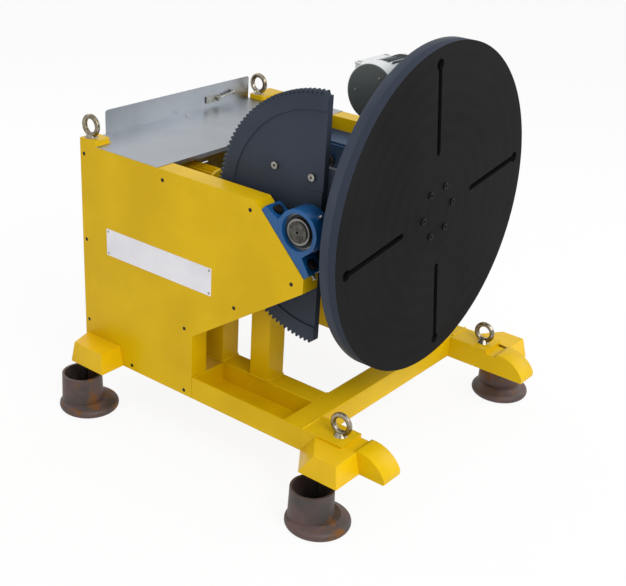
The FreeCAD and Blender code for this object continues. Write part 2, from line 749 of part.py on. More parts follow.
# ---------------------------------------------------------------- base
def base_rails():
    """Two box rails between the cross beams."""
    rail = tube_y((RAIL_INNER_X, RAIL_OUT_X), (FRONT_BEAM_REAR_Y, REAR_BEAM_Y), FLOOR_GAP)
    return group([mirrored(rail), rail])


def cross_beam(y_low, half_length):
    """Box beam across the machine."""
    outer = box((-half_length, half_length), (y_low, y_low + TUBE), (FLOOR_GAP, BASE_TOP_Z))
    bore_y = (y_low + TUBE_WALL, y_low + TUBE - TUBE_WALL)
    inner = box((-half_length, half_length), bore_y, (FLOOR_GAP + TUBE_WALL, BASE_TOP_Z - TUBE_WALL))
    return outer.cut(inner)


def front_cross_beam():
    """Front beam, between the outer walls of the trays."""
    return cross_beam(FRONT_BEAM_Y, WALL_OUT_X - TRAY_WALL_T)


def rear_cross_beam():
    """Rear beam, between the side frames."""
    return cross_beam(REAR_BEAM_Y, WALL_IN_X)


def side_trays():
    """Open trays beside the rails: outer wall, floor and rear wall in one."""
    inside_x = WALL_OUT_X - TRAY_WALL_T
    height = (FLOOR_GAP, BASE_TOP_Z)
    floor_z = (FLOOR_GAP + TRAY_FLOOR_LIFT, FLOOR_GAP + TRAY_FLOOR_LIFT + TRAY_FLOOR_T)
    wall = box((inside_x, WALL_OUT_X), (FRONT_BEAM_Y, WAIST_Y), height)
    floor = box((RAIL_OUT_X, inside_x), (FRONT_BEAM_REAR_Y, WAIST_Y), floor_z)
    back = box((RAIL_OUT_X, inside_x), (WAIST_Y - TRAY_WALL_T, WAIST_Y), height)
    tray = fused([wall, floor, back])
    return group([mirrored(tray), tray])


def nose_wire(x, inset):
    """Closed side outline of a nose, drawn in by an inset: level top, notch and falling arc."""
    top_z = BASE_TOP_Z - inset
    low_z = FLOOR_GAP + inset
    notch_z = BASE_TOP_Z - NOSE_NOTCH_DEPTH - inset
    tip_y = NOSE_TIP_Y + inset
    arc_start = V(x, NOSE_NOTCH_Y + inset, top_z - 4)
    arc_end = V(x, tip_y, FLOOR_GAP + NOSE_TIP_H)
    bulge = 0.24 * (top_z - low_z)
    arc_mid = V(x, (arc_start.y + arc_end.y) / 2 - bulge / 3, (arc_start.z + arc_end.z) / 2 + bulge)
    corners = [
        arc_end,
        V(x, tip_y, low_z),
        V(x, FRONT_BEAM_Y - inset, low_z),
        V(x, FRONT_BEAM_Y - inset, top_z),
        V(x, CORNER_FRONT_Y + inset, top_z),
        V(x, CORNER_FRONT_Y + inset, notch_z),
        V(x, NOSE_NOTCH_Y + inset, notch_z),
        arc_start,
    ]
    edges = [Part.LineSegment(a, b).toShape() for a, b in zip(corners, corners[1:])]
    edges.append(Part.Arc(arc_start, arc_mid, arc_end).toShape())
    return Part.Wire(edges)


def front_nose():
    """Hollow corner box with a horn-shaped nose, on the right."""
    nose_x = (CORNER_IN_X, CORNER_IN_X + NOSE_WIDTH)
    nose = Part.Face(nose_wire(nose_x[0], 0)).extrude(V(NOSE_WIDTH, 0, 0))
    corner = box((CORNER_IN_X, WALL_OUT_X), (CORNER_FRONT_Y, FRONT_BEAM_Y), (FLOOR_GAP, BASE_TOP_Z))
    hollow = Part.Face(nose_wire(nose_x[0] + NOSE_WALL, NOSE_WALL)).extrude(V(NOSE_WIDTH - 2 * NOSE_WALL,
                                                                              0, 0))
    corner_hollow = box((CORNER_IN_X + NOSE_WALL, WALL_OUT_X - NOSE_WALL),
                        (CORNER_FRONT_Y + NOSE_WALL, FRONT_BEAM_Y - NOSE_WALL),
                        (FLOOR_GAP + NOSE_WALL, BASE_TOP_Z - CORNER_PLATE_T))
    eye_seat = rod(EYE_COLLAR_R, V(FRONT_EYE_X, FRONT_EYE_Y, FLOOR_GAP + NOSE_WALL),
                   V(FRONT_EYE_X, FRONT_EYE_Y, BASE_TOP_Z))
    eye_hole = rod(EYE_SHANK_R + BOLT_PLAY, V(FRONT_EYE_X, FRONT_EYE_Y, BASE_TOP_Z - EYE_SHANK_L - 1),
                   V(FRONT_EYE_X, FRONT_EYE_Y, BASE_TOP_Z))
    body = fused([nose, corner]).cut([hollow, corner_hollow]).fuse(eye_seat).removeSplitter()
    bolt_holes = foot_bolt_tools(FRONT_FOOT_Y, WALL_OUT_X - NOSE_WALL, WALL_OUT_X, BOLT_PLAY)
    return body.cut([eye_hole] + bolt_holes)


def front_noses():
    """Both front corners."""
    nose = front_nose()
    return group([mirrored(nose), nose])


# ---------------------------------------------------------------- feet
def foot_bolt_places(foot_y):
    """Bolts of a foot bracket's flange as (y, z) points."""
    reach = BRACKET_FLANGE_W / 2 - BRACKET_BOLT_INSET
    return [(foot_y + side * reach, z) for side in SIDES
            for z in (FLOOR_GAP + 1.6 * BRACKET_BOLT_INSET,
                      FLOOR_GAP + BRACKET_FLANGE_H - 1.6 * BRACKET_BOLT_INSET)]


def foot_bolt_tools(foot_y, x_from, x_to, play):
    """Shanks of one bracket's bolts on the right, with some play."""
    return [rod(BRACKET_BOLT_R + play, V(x_from, y, z), V(x_to, y, z))
            for y, z in foot_bolt_places(foot_y)]


def foot_bracket(foot_y):
    """Bracket that carries a foot: bolted flange and a thick plate with the stud's hole."""
    flange_x = (WALL_OUT_X, WALL_OUT_X + BRACKET_FLANGE_T)
    flange_y = (foot_y - BRACKET_FLANGE_W / 2, foot_y + BRACKET_FLANGE_W / 2)
    flange = box(flange_x, flange_y, (FLOOR_GAP, FLOOR_GAP + BRACKET_FLANGE_H))
    plate_y = (foot_y - BRACKET_WIDTH / 2, foot_y + BRACKET_WIDTH / 2)
    plate = box((WALL_OUT_X, FOOT_X + BRACKET_EDGE), plate_y, (FLOOR_GAP, FLOOR_GAP + BRACKET_T))
    stud_hole = rod(STUD_R + STUD_GAP, V(FOOT_X, foot_y, FLOOR_GAP),
                    V(FOOT_X, foot_y, FLOOR_GAP + BRACKET_T))
    bolts = foot_bolt_tools(foot_y, flange_x[0], flange_x[1], BOLT_PLAY)
    return fused([flange, plate]).cut([stud_hole] + bolts)


def foot_brackets():
    """The four foot brackets."""
    brackets = [foot_bracket(foot_y) for foot_y in (FRONT_FOOT_Y, REAR_FOOT_Y)]
    return group(brackets + [mirrored(bracket) for bracket in brackets])


def bracket_bolts():
    """Hexagon bolts of the foot brackets."""
    bolts = []
    seat_x = WALL_OUT_X + BRACKET_FLANGE_T
    for foot_y in (FRONT_FOOT_Y, REAR_FOOT_Y):
        for y, z in foot_bolt_places(foot_y):
            shank = rod(BRACKET_BOLT_R, V(WALL_OUT_X - NOSE_WALL, y, z), V(seat_x, y, z))
            head = hex_head(1.5 * BRACKET_BOLT_R, V(seat_x, y, z), V(seat_x + 7.5, y, z))
            bolts.append(shank.fuse(head).removeSplitter())
    return group(bolts + [mirrored(bolt) for bolt in bolts])


def hood_loft(foot, roof, z_low, z_high):
    """Solid between two outlines of (x, y) points with the same number of corners."""
    wires = []
    for outline, z in ((foot, z_low), (roof, z_high)):
        points = [V(x, y, z) for x, y in outline]
        wires.append(Part.makePolygon(points + [points[0]]))
    return Part.makeLoft(wires, True, True)


def inset_corners(outline, inset):
    """Corners of an outline moved in from its three outer edges; the inner edge stays open."""
    (x1, y1), (x2, y2), (x3, y3), (x4, y4) = outline
    rear_dx, rear_dy = x2 - x1, y2 - y1
    rear_length = math.hypot(rear_dx, rear_dy)
    drop = inset * rear_length / abs(rear_dx)
    slope = rear_dy / rear_dx
    open_x = x4 - 4 * inset
    outer_x = x2 - inset
    sign = 1 if y1 > y4 else -1
    return [
        (open_x, y1 + slope * (open_x - x1) - sign * drop),
        (outer_x, y1 + slope * (outer_x - x1) - sign * drop),
        (outer_x, y3 + sign * inset),
        (open_x, y4 + sign * inset),
    ]


def hood(foot, roof, block):
    """Folded steel hood over a foot: walls and roof, open below and towards the frame."""
    z_low, z_roof = FLOOR_GAP, FLOOR_GAP + HOOD_ROOF_H
    outer = hood_loft(foot, roof, z_low, z_roof)
    inner = hood_loft(inset_corners(foot, HOOD_T), inset_corners(roof, HOOD_T), z_low, z_roof - HOOD_T)
    return outer.cut([inner] + block)


def foot_hoods():
    """The four foot hoods, front pair shaped to the nose."""
    nose_x = WALL_OUT_X - HOOD_NOSE_LAP
    front_foot = [
        (WALL_OUT_X, FRONT_BEAM_Y + FRONT_HOOD_START),
        (HOOD_OUT_X, FRONT_FOOT_Y + FRONT_HOOD_BEHIND),
        (HOOD_OUT_X, FRONT_FOOT_Y - FRONT_HOOD_AHEAD),
        (nose_x, FRONT_FOOT_Y - FRONT_HOOD_AHEAD),
    ]
    front_roof = [
        (WALL_OUT_X, FRONT_BEAM_Y - FRONT_HOOD_ROOF_START),
        (HOOD_ROOF_OUT_X, FRONT_FOOT_Y + FRONT_HOOD_ROOF_BEHIND),
        (HOOD_ROOF_OUT_X, FRONT_FOOT_Y - FRONT_HOOD_ROOF_AHEAD),
        (nose_x, FRONT_FOOT_Y - FRONT_HOOD_ROOF_AHEAD),
    ]
    rear_foot = [
        (WALL_OUT_X, WALL_REAR_Y),
        (HOOD_OUT_X, REAR_FOOT_Y + REAR_HOOD_BEHIND),
        (HOOD_OUT_X, REAR_FOOT_Y - REAR_HOOD_AHEAD),
        (WALL_OUT_X, REAR_FOOT_Y - REAR_HOOD_AHEAD),
    ]
    rear_roof = [
        (WALL_OUT_X, WALL_REAR_Y - REAR_HOOD_ROOF_INSET),
        (HOOD_ROOF_OUT_X, REAR_FOOT_Y + REAR_HOOD_ROOF_BEHIND),
        (HOOD_ROOF_OUT_X, REAR_FOOT_Y - REAR_HOOD_ROOF_AHEAD),
        (WALL_OUT_X, REAR_FOOT_Y - REAR_HOOD_ROOF_AHEAD),
    ]
    tall = (FLOOR_GAP - 1, BASE_TOP_Z + 1)
    corner = box((0, WALL_OUT_X), (CORNER_FRONT_Y, BEAM_REAR_Y), tall)
    nose = box((0, CORNER_IN_X + NOSE_WIDTH), (NOSE_TIP_Y, CORNER_FRONT_Y), tall)
    hoods = [hood(front_foot, front_roof, [corner, nose]), hood(rear_foot, rear_roof, [corner])]
    return group(hoods + [mirrored(shape) for shape in hoods])


def turned(centre, profile):
    """Solid turned about an upright line; each step holds the (radius, height) points to its end.

    One point is a straight step, two are an arc through the first to the second.
    """
    edges = []
    place = None
    for step in profile:
        points = [V(centre.x + radius, centre.y, z) for radius, z in step]
        if place is not None and len(points) == 2:
            edges.append(Part.Arc(place, points[0], points[1]).toShape())
        elif place is not None:
            edges.append(Part.LineSegment(place, points[0]).toShape())
        place = points[-1]
    return Part.Face(Part.Wire(edges)).revolve(centre, V(0, 0, 1), 360)


def foot_pad(side, foot_y):
    """Cast pad: thick round flange and, off its middle, the cup that the stud stands in."""
    flange_centre = V(FOOT_X + PAD_OFFSET_X, foot_y + PAD_OFFSET_Y, 0)
    cup_centre = V(FOOT_X + CUP_OFFSET_X, foot_y + CUP_OFFSET_Y, 0)
    flange = turned(flange_centre, [
        [(0, 0)],
        [(PAD_R - PAD_EDGE_R, 0)],
        [(PAD_R, PAD_EDGE_H / 2), (PAD_R - PAD_EDGE_R, PAD_EDGE_H)],
        [(PAD_CROWN_R, PAD_CROWN_H)],
        [(0, PAD_CROWN_H)],
        [(0, 0)],
    ])
    cup = cone(CUP_FOOT_R, CUP_TOP_R, cup_centre, V(cup_centre.x, cup_centre.y, CUP_TOP_Z))
    body = cup.common(rod(PAD_R - PAD_EDGE_R, flange_centre,
                          V(flange_centre.x, flange_centre.y, CUP_TOP_Z)))
    mouth = rod(CUP_MOUTH_R, V(cup_centre.x, cup_centre.y, CUP_FLOOR_Z),
                V(cup_centre.x, cup_centre.y, CUP_TOP_Z))
    seat = rod(SWIVEL_R, V(FOOT_X, foot_y, CUP_FLOOR_Z - SWIVEL_DEPTH), V(FOOT_X, foot_y, CUP_FLOOR_Z))
    return on_side(fused([flange, body]).cut([mouth, seat]), side)


def foot_stud(side, foot_y):
    """Threaded stud with a swivel end in its pad's floor."""
    top_z = FLOOR_GAP + BRACKET_T + LOCK_NUT_H + FOOT_TRAVEL
    shoulder_z = CUP_FLOOR_Z + SWIVEL_RISE
    hexagon_z = shoulder_z + STUD_HEX_H
    swivel = rod(SWIVEL_R - SEAT_FIT, V(FOOT_X, foot_y, CUP_FLOOR_Z - SWIVEL_DEPTH),
                 V(FOOT_X, foot_y, shoulder_z))
    hexagon = hex_head(1.5 * STUD_R, V(FOOT_X, foot_y, shoulder_z), V(FOOT_X, foot_y, hexagon_z))
    stud = rod(STUD_R, V(FOOT_X, foot_y, shoulder_z), V(FOOT_X, foot_y, top_z - STUD_CHAMFER))
    end = cone(STUD_R, STUD_R - STUD_CHAMFER, V(FOOT_X, foot_y, top_z - STUD_CHAMFER),
               V(FOOT_X, foot_y, top_z))
    return on_side(fused([swivel, hexagon, stud, end]), side)


def lock_nuts():
    """Nuts that lock the studs on their brackets."""
    nuts = []
    for foot_y in (FRONT_FOOT_Y, REAR_FOOT_Y):
        low = V(FOOT_X, foot_y, FLOOR_GAP + BRACKET_T)
        high = V(FOOT_X, foot_y, FLOOR_GAP + BRACKET_T + LOCK_NUT_H)
        nut = hex_head(LOCK_NUT_HALF_W, low, high).cut(rod(STUD_R + STUD_GAP, low, high))
        nuts += [nut, mirrored(nut)]
    return group(nuts)


# ---------------------------------------------------------------- lifting points and covers
def eye_bolt(x, y, z):
    """Forged eye bolt: shank, collar and ring."""
    ring_z = z + EYE_RING_R
    wire_r = (EYE_RING_R - EYE_HOLE_R) / 2
    loop = Part.makeTorus(EYE_HOLE_R + wire_r, wire_r, V(x, y, ring_z), V(1, 0, 0))
    collar = cone(EYE_COLLAR_R, EYE_COLLAR_R * 0.6, V(x, y, z), V(x, y, z + EYE_COLLAR_H))
    shank = rod(EYE_SHANK_R, V(x, y, z - EYE_SHANK_L), V(x, y, z))
    return fused([loop, collar, shank])


def lifting_tabs():
    """Thick plates on the rear top corners that hold the rear eye bolts."""
    tabs = []
    for side, inner_x, eye_x in zip(SIDES, TAB_INNER_X, REAR_EYE_X):
        rear_y = WALL_REAR_Y
        tab = box((inner_x, WALL_OUT_X), (TAB_FRONT_Y, rear_y), (WALL_TOP_Z, WALL_TOP_Z + TAB_T))
        corner_edges = []
        for edge in tab.Edges:
            points = [vertex.Point for vertex in edge.Vertexes]
            inner = all(abs(point.x - inner_x) < 0.1 for point in points)
            if inner and abs(points[0].z - points[1].z) > 1:
                corner_edges.append(edge)
        tab = tab.makeFillet(TAB_CORNER_R, corner_edges)
        hole = rod(EYE_SHANK_R + BOLT_PLAY, V(eye_x, REAR_EYE_Y, WALL_TOP_Z),
                   V(eye_x, REAR_EYE_Y, WALL_TOP_Z + TAB_T))
        tabs.append(on_side(tab.cut(hole), side))
    return group(tabs)


def eye_bolts():
    """The four lifting eyes."""
    eyes = [eye_bolt(side * FRONT_EYE_X, FRONT_EYE_Y, BASE_TOP_Z) for side in SIDES]
    eyes += [eye_bolt(side * x, REAR_EYE_Y, WALL_TOP_Z + TAB_T) for side, x in zip(SIDES, REAR_EYE_X)]
    return group(eyes)


def top_tie():
    """Square tube across the rear top corners."""
    outer = box((-WALL_IN_X, WALL_IN_X), (WALL_REAR_Y - TIE_H, WALL_REAR_Y),
                (WALL_TOP_Z - TIE_H, WALL_TOP_Z))
    inner = box((-WALL_IN_X, WALL_IN_X), (WALL_REAR_Y - TIE_H + TIE_WALL, WALL_REAR_Y - TIE_WALL),
                (WALL_TOP_Z - TIE_H + TIE_WALL, WALL_TOP_Z - TIE_WALL))
    holes = []
    for x, y, z in top_screw_places():
        holes.append(rod(COVER_SCREW_R + BOLT_PLAY, V(x, y, z - 2 * TIE_WALL), V(x, y, z)))
    return outer.cut([inner] + holes)


def top_screw_places():
    """The top cover's one screw, in the middle of the tie; the latch holds it too."""
    return [(0.0, WALL_REAR_Y - COVER_SCREW_INSET, WALL_TOP_Z)]


def rear_screw_places():
    """Screws of the rear cover, down both edges."""
    low_z, high_z = REAR_SHEET_LOW_Z + SCREW_INSET, WALL_TOP_Z - SCREW_INSET
    x = (WALL_IN_X + WALL_OUT_X - PANEL_T) / 2
    return [(side * x, WALL_REAR_Y, z) for side in SIDES for z in (low_z, (low_z + high_z) / 2, high_z)]


def screen_face(y):
    """Upright sheet's outline with rounded top corners."""
    half, low_z, top_z = SCREEN_X, WALL_TOP_Z, WALL_TOP_Z + SCREEN_H
    r = SCREEN_CORNER_R
    bow = r * (1 - DIAGONAL)
    edges = [
        Part.LineSegment(V(-half, y, low_z), V(half, y, low_z)).toShape(),
        Part.LineSegment(V(half, y, low_z), V(half, y, top_z - r)).toShape(),
        Part.Arc(V(half, y, top_z - r), V(half - bow, y, top_z - bow), V(half - r, y, top_z)).toShape(),
        Part.LineSegment(V(half - r, y, top_z), V(r - half, y, top_z)).toShape(),
        Part.Arc(V(r - half, y, top_z), V(bow - half, y, top_z - bow), V(-half, y, top_z - r)).toShape(),
        Part.LineSegment(V(-half, y, top_z - r), V(-half, y, low_z)).toShape(),
    ]
    return Part.Face(Part.Wire(edges))


def top_cover():
    """Folded stainless sheet over the rear half, with a front lip and an upright rear screen."""
    rear_y = WALL_REAR_Y + SCREEN_REACH
    sheet_z = (WALL_TOP_Z, WALL_TOP_Z + COVER_T)
    sheet = box((-WALL_OUT_X, WALL_OUT_X), (COVER_FRONT_Y, TAB_FRONT_Y - TAB_GAP), sheet_z)
    left_x, right_x = TAB_INNER_X[0] - TAB_GAP, TAB_INNER_X[1] - TAB_GAP
    tongue = box((-left_x, right_x), (TAB_FRONT_Y - TAB_GAP, rear_y), sheet_z)
    lip = box((-WALL_IN_X + RUN_GAP, WALL_IN_X - RUN_GAP), (COVER_FRONT_Y, COVER_FRONT_Y + COVER_T),
              (WALL_TOP_Z - COVER_LIP, WALL_TOP_Z))
    screen = screen_face(rear_y - COVER_T).extrude(V(0, COVER_T, 0))
    tools = [rod(COVER_SCREW_R + BOLT_PLAY, V(x, y, z), V(x, y, z + COVER_T)) for x, y,
             z in top_screw_places()]
    tools.append(rod(LATCH_PIN_R + BOLT_PLAY, V(LATCH_X, rear_y - COVER_T, LATCH_Z),
                     V(LATCH_X, rear_y, LATCH_Z)))
    return fused([sheet, tongue, lip, screen]).cut(tools)


def rear_cover():
    """Flat rear sheet with pressed louvres."""
    half = WALL_OUT_X - PANEL_T
    y = WALL_REAR_Y
    sheet = box((-half, half), (y, y + REAR_SHEET_T), (REAR_SHEET_LOW_Z, WALL_TOP_Z))
    louvres, slots = [], []
    middle_z = (REAR_SHEET_LOW_Z + WALL_TOP_Z) / 2
    for row in range(LOUVRE_COUNT):
        z = middle_z + (row - (LOUVRE_COUNT - 1) / 2) * LOUVRE_PITCH
        out_y = y + REAR_SHEET_T
        profile = [V(-LOUVRE_LENGTH / 2, out_y, z + LOUVRE_H), V(-LOUVRE_LENGTH / 2, out_y + LOUVRE_H, z),
                   V(-LOUVRE_LENGTH / 2, out_y + LOUVRE_H - 2, z), V(-LOUVRE_LENGTH / 2, out_y,
                                                                     z + LOUVRE_H - 2)]
        louvres.append(prism(profile, V(LOUVRE_LENGTH, 0, 0)))
        slots.append(box((-LOUVRE_LENGTH / 2 + 4, LOUVRE_LENGTH / 2 - 4), (y, out_y),
                         (z, z + LOUVRE_H - 3)))
    holes = [rod(COVER_SCREW_R + BOLT_PLAY, V(x, y, z), V(x, y + REAR_SHEET_T, z)) for x, y,
             z in rear_screw_places()]
    return sheet.fuse(louvres).removeSplitter().cut(slots + holes)


def cover_screws():
    """Pan-head screws of the top and rear covers."""
    screws = []
    for x, y, z in top_screw_places():
        seat = z + COVER_T
        shank = rod(COVER_SCREW_R, V(x, y, z - TIE_WALL - 4), V(x, y, seat))
        head = cone(COVER_SCREW_HEAD_R, COVER_SCREW_HEAD_R * 0.7, V(x, y, seat),
                    V(x, y, seat + COVER_SCREW_HEAD_H))
        screws.append(shank.fuse(head).removeSplitter())
    for x, y, z in rear_screw_places():
        seat = y + REAR_SHEET_T
        shank = rod(COVER_SCREW_R, V(x, y - WALL_PLATE_T, z), V(x, seat, z))
        head = cone(COVER_SCREW_HEAD_R, COVER_SCREW_HEAD_R * 0.7, V(x, seat, z),
                    V(x, seat + COVER_SCREW_HEAD_H, z))
        screws.append(shank.fuse(head).removeSplitter())
    return group(screws)


def latch_base():
    """Small plate on the screen, behind the latch lever."""
    face_y = WALL_REAR_Y + SCREEN_REACH - COVER_T
    plate = box((LATCH_X - LATCH_PLATE_L, LATCH_X + LATCH_PLATE_H / 2), (face_y - LATCH_PLATE_T, face_y),
                (LATCH_Z - LATCH_PLATE_H / 2, LATCH_Z + LATCH_PLATE_H / 2))
    hole = rod(LATCH_PIN_R + RUN_FIT, V(LATCH_X, face_y - LATCH_PLATE_T, LATCH_Z),
               V(LATCH_X, face_y, LATCH_Z))
    return plate.cut(hole)


def latch_lever():
    """Turning lever with a round tip, on a pin through the screen."""
    face_y = WALL_REAR_Y + SCREEN_REACH - COVER_T
    hub_y = face_y - LATCH_PLATE_T - RUN_GAP
    pin = rod(LATCH_PIN_R, V(LATCH_X, hub_y, LATCH_Z), V(LATCH_X, face_y + COVER_T + 2, LATCH_Z))
    hub = rod(LATCH_HUB_R, V(LATCH_X, hub_y - LATCH_HUB_T, LATCH_Z), V(LATCH_X, hub_y, LATCH_Z))
    arm_y = hub_y - LATCH_HUB_T / 2
    arm = rod(LATCH_ARM_R, V(LATCH_X, arm_y, LATCH_Z),
              V(LATCH_X + LATCH_ARM_L, arm_y, LATCH_Z + LATCH_ARM_RISE))
    tip = Part.makeSphere(LATCH_TIP_R, V(LATCH_X + LATCH_ARM_L, arm_y, LATCH_Z + LATCH_ARM_RISE))
    return fused([pin, hub, arm, tip])


# ---------------------------------------------------------------- drives in the body
def drive_stand():
    """Two posts on the left rail with a bridge plate under the tilt gearbox."""
    posts = []
    for y in (POST_FRONT_Y, POST_REAR_Y):
        outer = box((-RAIL_OUT_X, -RAIL_INNER_X), (y, y + TUBE), (BASE_TOP_Z, POST_TOP_Z))
        inner = box((-RAIL_OUT_X + TUBE_WALL, -RAIL_INNER_X - TUBE_WALL),
                    (y + TUBE_WALL, y + TUBE - TUBE_WALL), (BASE_TOP_Z, POST_TOP_Z))
        posts.append(outer.cut(inner))
    bridge = box((-RAIL_OUT_X, TILT_GEARBOX_W - TILT_GEARBOX_X), (POST_FRONT_Y, POST_REAR_Y + TUBE),
                 (POST_TOP_Z, POST_TOP_Z + BRIDGE_T))
    return fused(posts + [bridge])


def tilt_gearbox():
    """Worm gearbox on the bridge: box, worm barrel and foot, bored for the pinion shaft."""
    y, z = TILT_PINION_Y, TILT_PINION_Z
    x_out, x_in = -TILT_GEARBOX_X, TILT_GEARBOX_W - TILT_GEARBOX_X
    case = box((x_out + 10, x_in - 10), (y - GEARBOX_HALF, y + GEARBOX_HALF),
               (z - GEARBOX_HALF, z + GEARBOX_HALF))
    ends = rod(GEARBOX_HALF * 0.8, V(x_out, y, z), V(x_in, y, z))
    middle_x = (x_out + x_in) / 2
    barrel = rod(WORM_BARREL_R, V(middle_x, y - GEARBOX_HALF, z + GEARBOX_CENTRES),
                 V(middle_x, y + GEARBOX_HALF + 5, z + GEARBOX_CENTRES))
    bore = rod(PINION_SHAFT_R + RUN_FIT, V(x_out, y, z), V(x_in, y, z))
    return fused([case, ends, barrel]).cut(bore)


def tilt_motor():
    """Foot-less motor on the tilt gearbox's worm, with its fan cowl."""
    x = TILT_GEARBOX_W / 2 - TILT_GEARBOX_X
    z = TILT_PINION_Z + GEARBOX_CENTRES
    start = TILT_PINION_Y + GEARBOX_HALF + 5
    flange = rod(MOTOR_R, V(x, start, z), V(x, start + 12, z))
    body = rod(MOTOR_R * 0.88, V(x, start + 12, z), V(x, start + MOTOR_L, z))
    cowl = rod(MOTOR_R * 0.96, V(x, start + MOTOR_L, z), V(x, start + MOTOR_L + COWL_L, z))
    return fused([flange, body, cowl])


def pinion_bearing():
    """Bearing of the tilt pinion shaft in the left side frame's inner skin."""
    return ring(PINION_BEARING_R, PINION_SHAFT_R + RUN_FIT, V(-WALL_IN_X, TILT_PINION_Y, TILT_PINION_Z),
                V(-WALL_IN_X - PINION_BEARING_L, TILT_PINION_Y, TILT_PINION_Z))


def tilt_pinion_shaft():
    """Shaft with the tilt pinion cut on it, in mesh with the sector at rest."""
    pitch = 2 * math.pi / SECTOR_TEETH
    line = math.radians(TILT_PINION_ANGLE)
    off_line = (-math.pi / 2 + pitch / 2) - line
    phase = line + math.pi - off_line * SECTOR_TEETH / TILT_PINION_TEETH + math.pi / TILT_PINION_TEETH
    outline = gear_outline(TILT_PINION_TEETH, 0, TILT_PINION_TEETH, phase)
    start_x = -SECTOR_OUT_X - PINION_EXTRA_W / 2
    gear = tilt_gear_face(start_x, outline, TILT_PINION_Y,
                          TILT_PINION_Z).extrude(V(SECTOR_T + PINION_EXTRA_W, 0, 0))
    shaft = rod(PINION_SHAFT_R, V(-WALL_IN_X - PINION_BEARING_L + 2, TILT_PINION_Y, TILT_PINION_Z),
                V(TILT_GEARBOX_W - TILT_GEARBOX_X - 2, TILT_PINION_Y, TILT_PINION_Z))
    return fused([gear, shaft])


def control_box():
    """Closed cabinet on the right side frame's inner skin."""
    outer = box((WALL_IN_X - CONTROL_DEPTH, WALL_IN_X), CONTROL_Y, CONTROL_Z)
    inner = box((WALL_IN_X - CONTROL_DEPTH + 3, WALL_IN_X - 3), (CONTROL_Y[0] + 3, CONTROL_Y[1] - 3),
                (CONTROL_Z[0] + 3, CONTROL_Z[1] - 3))
    gland_x, gland_y = WALL_IN_X - CONTROL_DEPTH / 2, (CONTROL_Y[0] + CONTROL_Y[1]) / 2
    hole = rod(GLAND_R + SEAT_FIT, V(gland_x, gland_y, CONTROL_Z[0]),
               V(gland_x, gland_y, CONTROL_Z[0] + 3))
    return outer.cut([inner, hole])


def cable_gland():
    """Gland for the supply cable, under the cabinet."""
    x, y, z = WALL_IN_X - CONTROL_DEPTH / 2, (CONTROL_Y[0] + CONTROL_Y[1]) / 2, CONTROL_Z[0]
    thread = rod(GLAND_R, V(x, y, z), V(x, y, z + 12))
    collar = hex_head(GLAND_R * 1.35, V(x, y, z - 8), V(x, y, z))
    cap = cone(GLAND_R * 1.2, GLAND_R * 0.8, V(x, y, z - 8), V(x, y, z - 28))
    bore = rod(GLAND_R * 0.5, V(x, y, z - 28), V(x, y, z + 12))
    return fused([thread, collar, cap]).cut(bore)


# ---------------------------------------------------------------- tilting body
def cradle():
    """Welded cradle: front plate with a crown, and two side plates for the trunnions."""
    front_y = (RING_REAR_Y, FRONT_PLATE_REAR_Y)
    out_x = SIDE_PLATE_X + SIDE_PLATE_T
    low_z, high_z = TILT_Z - SIDE_PLATE_HALF_H, TILT_Z + SIDE_PLATE_HALF_H
    front = box((-out_x, out_x), front_y, (low_z, high_z))
    disc = rod(CRADLE_DISC_R, V(0, front_y[0], TABLE_Z), V(0, front_y[1], TABLE_Z))
    crown_x = (ROTATION_PINION_X - CROWN_HALF_W, ROTATION_PINION_X + CROWN_HALF_W)
    crown = box(crown_x, front_y, (TABLE_Z, ROTATION_PINION_Z + CROWN_HALF_W))
    shapes = [front, disc, crown]
    chamfer = SIDE_PLATE_HALF_H / 3
    rear_y = TILT_Y + SIDE_PLATE_REAR
    outline = [(front_y[0], low_z), (rear_y - chamfer, low_z), (rear_y, low_z + chamfer),
               (rear_y, high_z - chamfer),
               (rear_y - chamfer, high_z), (front_y[0], high_z)]
    for side in SIDES:
        shapes.append(side_prism(outline, side * SIDE_PLATE_X, side * out_x))
    hub_hole = rod(HUB_PASS_R, V(0, front_y[0], TABLE_Z), V(0, front_y[1], TABLE_Z))
    shaft_hole = rod(ROTATION_SHAFT_R + 8, V(ROTATION_PINION_X, front_y[0], ROTATION_PINION_Z),
                     V(ROTATION_PINION_X, front_y[1], ROTATION_PINION_Z))
    journals = rod(SHAFT_R + SEAT_FIT, tilt_point(-out_x, 0, 0), tilt_point(out_x, 0, 0))
    bolts = [rod(SECTOR_BOLT_R + BOLT_PLAY, tilt_point(-out_x, y, z),
                 tilt_point(-SIDE_PLATE_X, y, z)) for y, z in SECTOR_BOLTS]
    return fused(shapes).cut([hub_hole, shaft_hole, journals] + bolts)


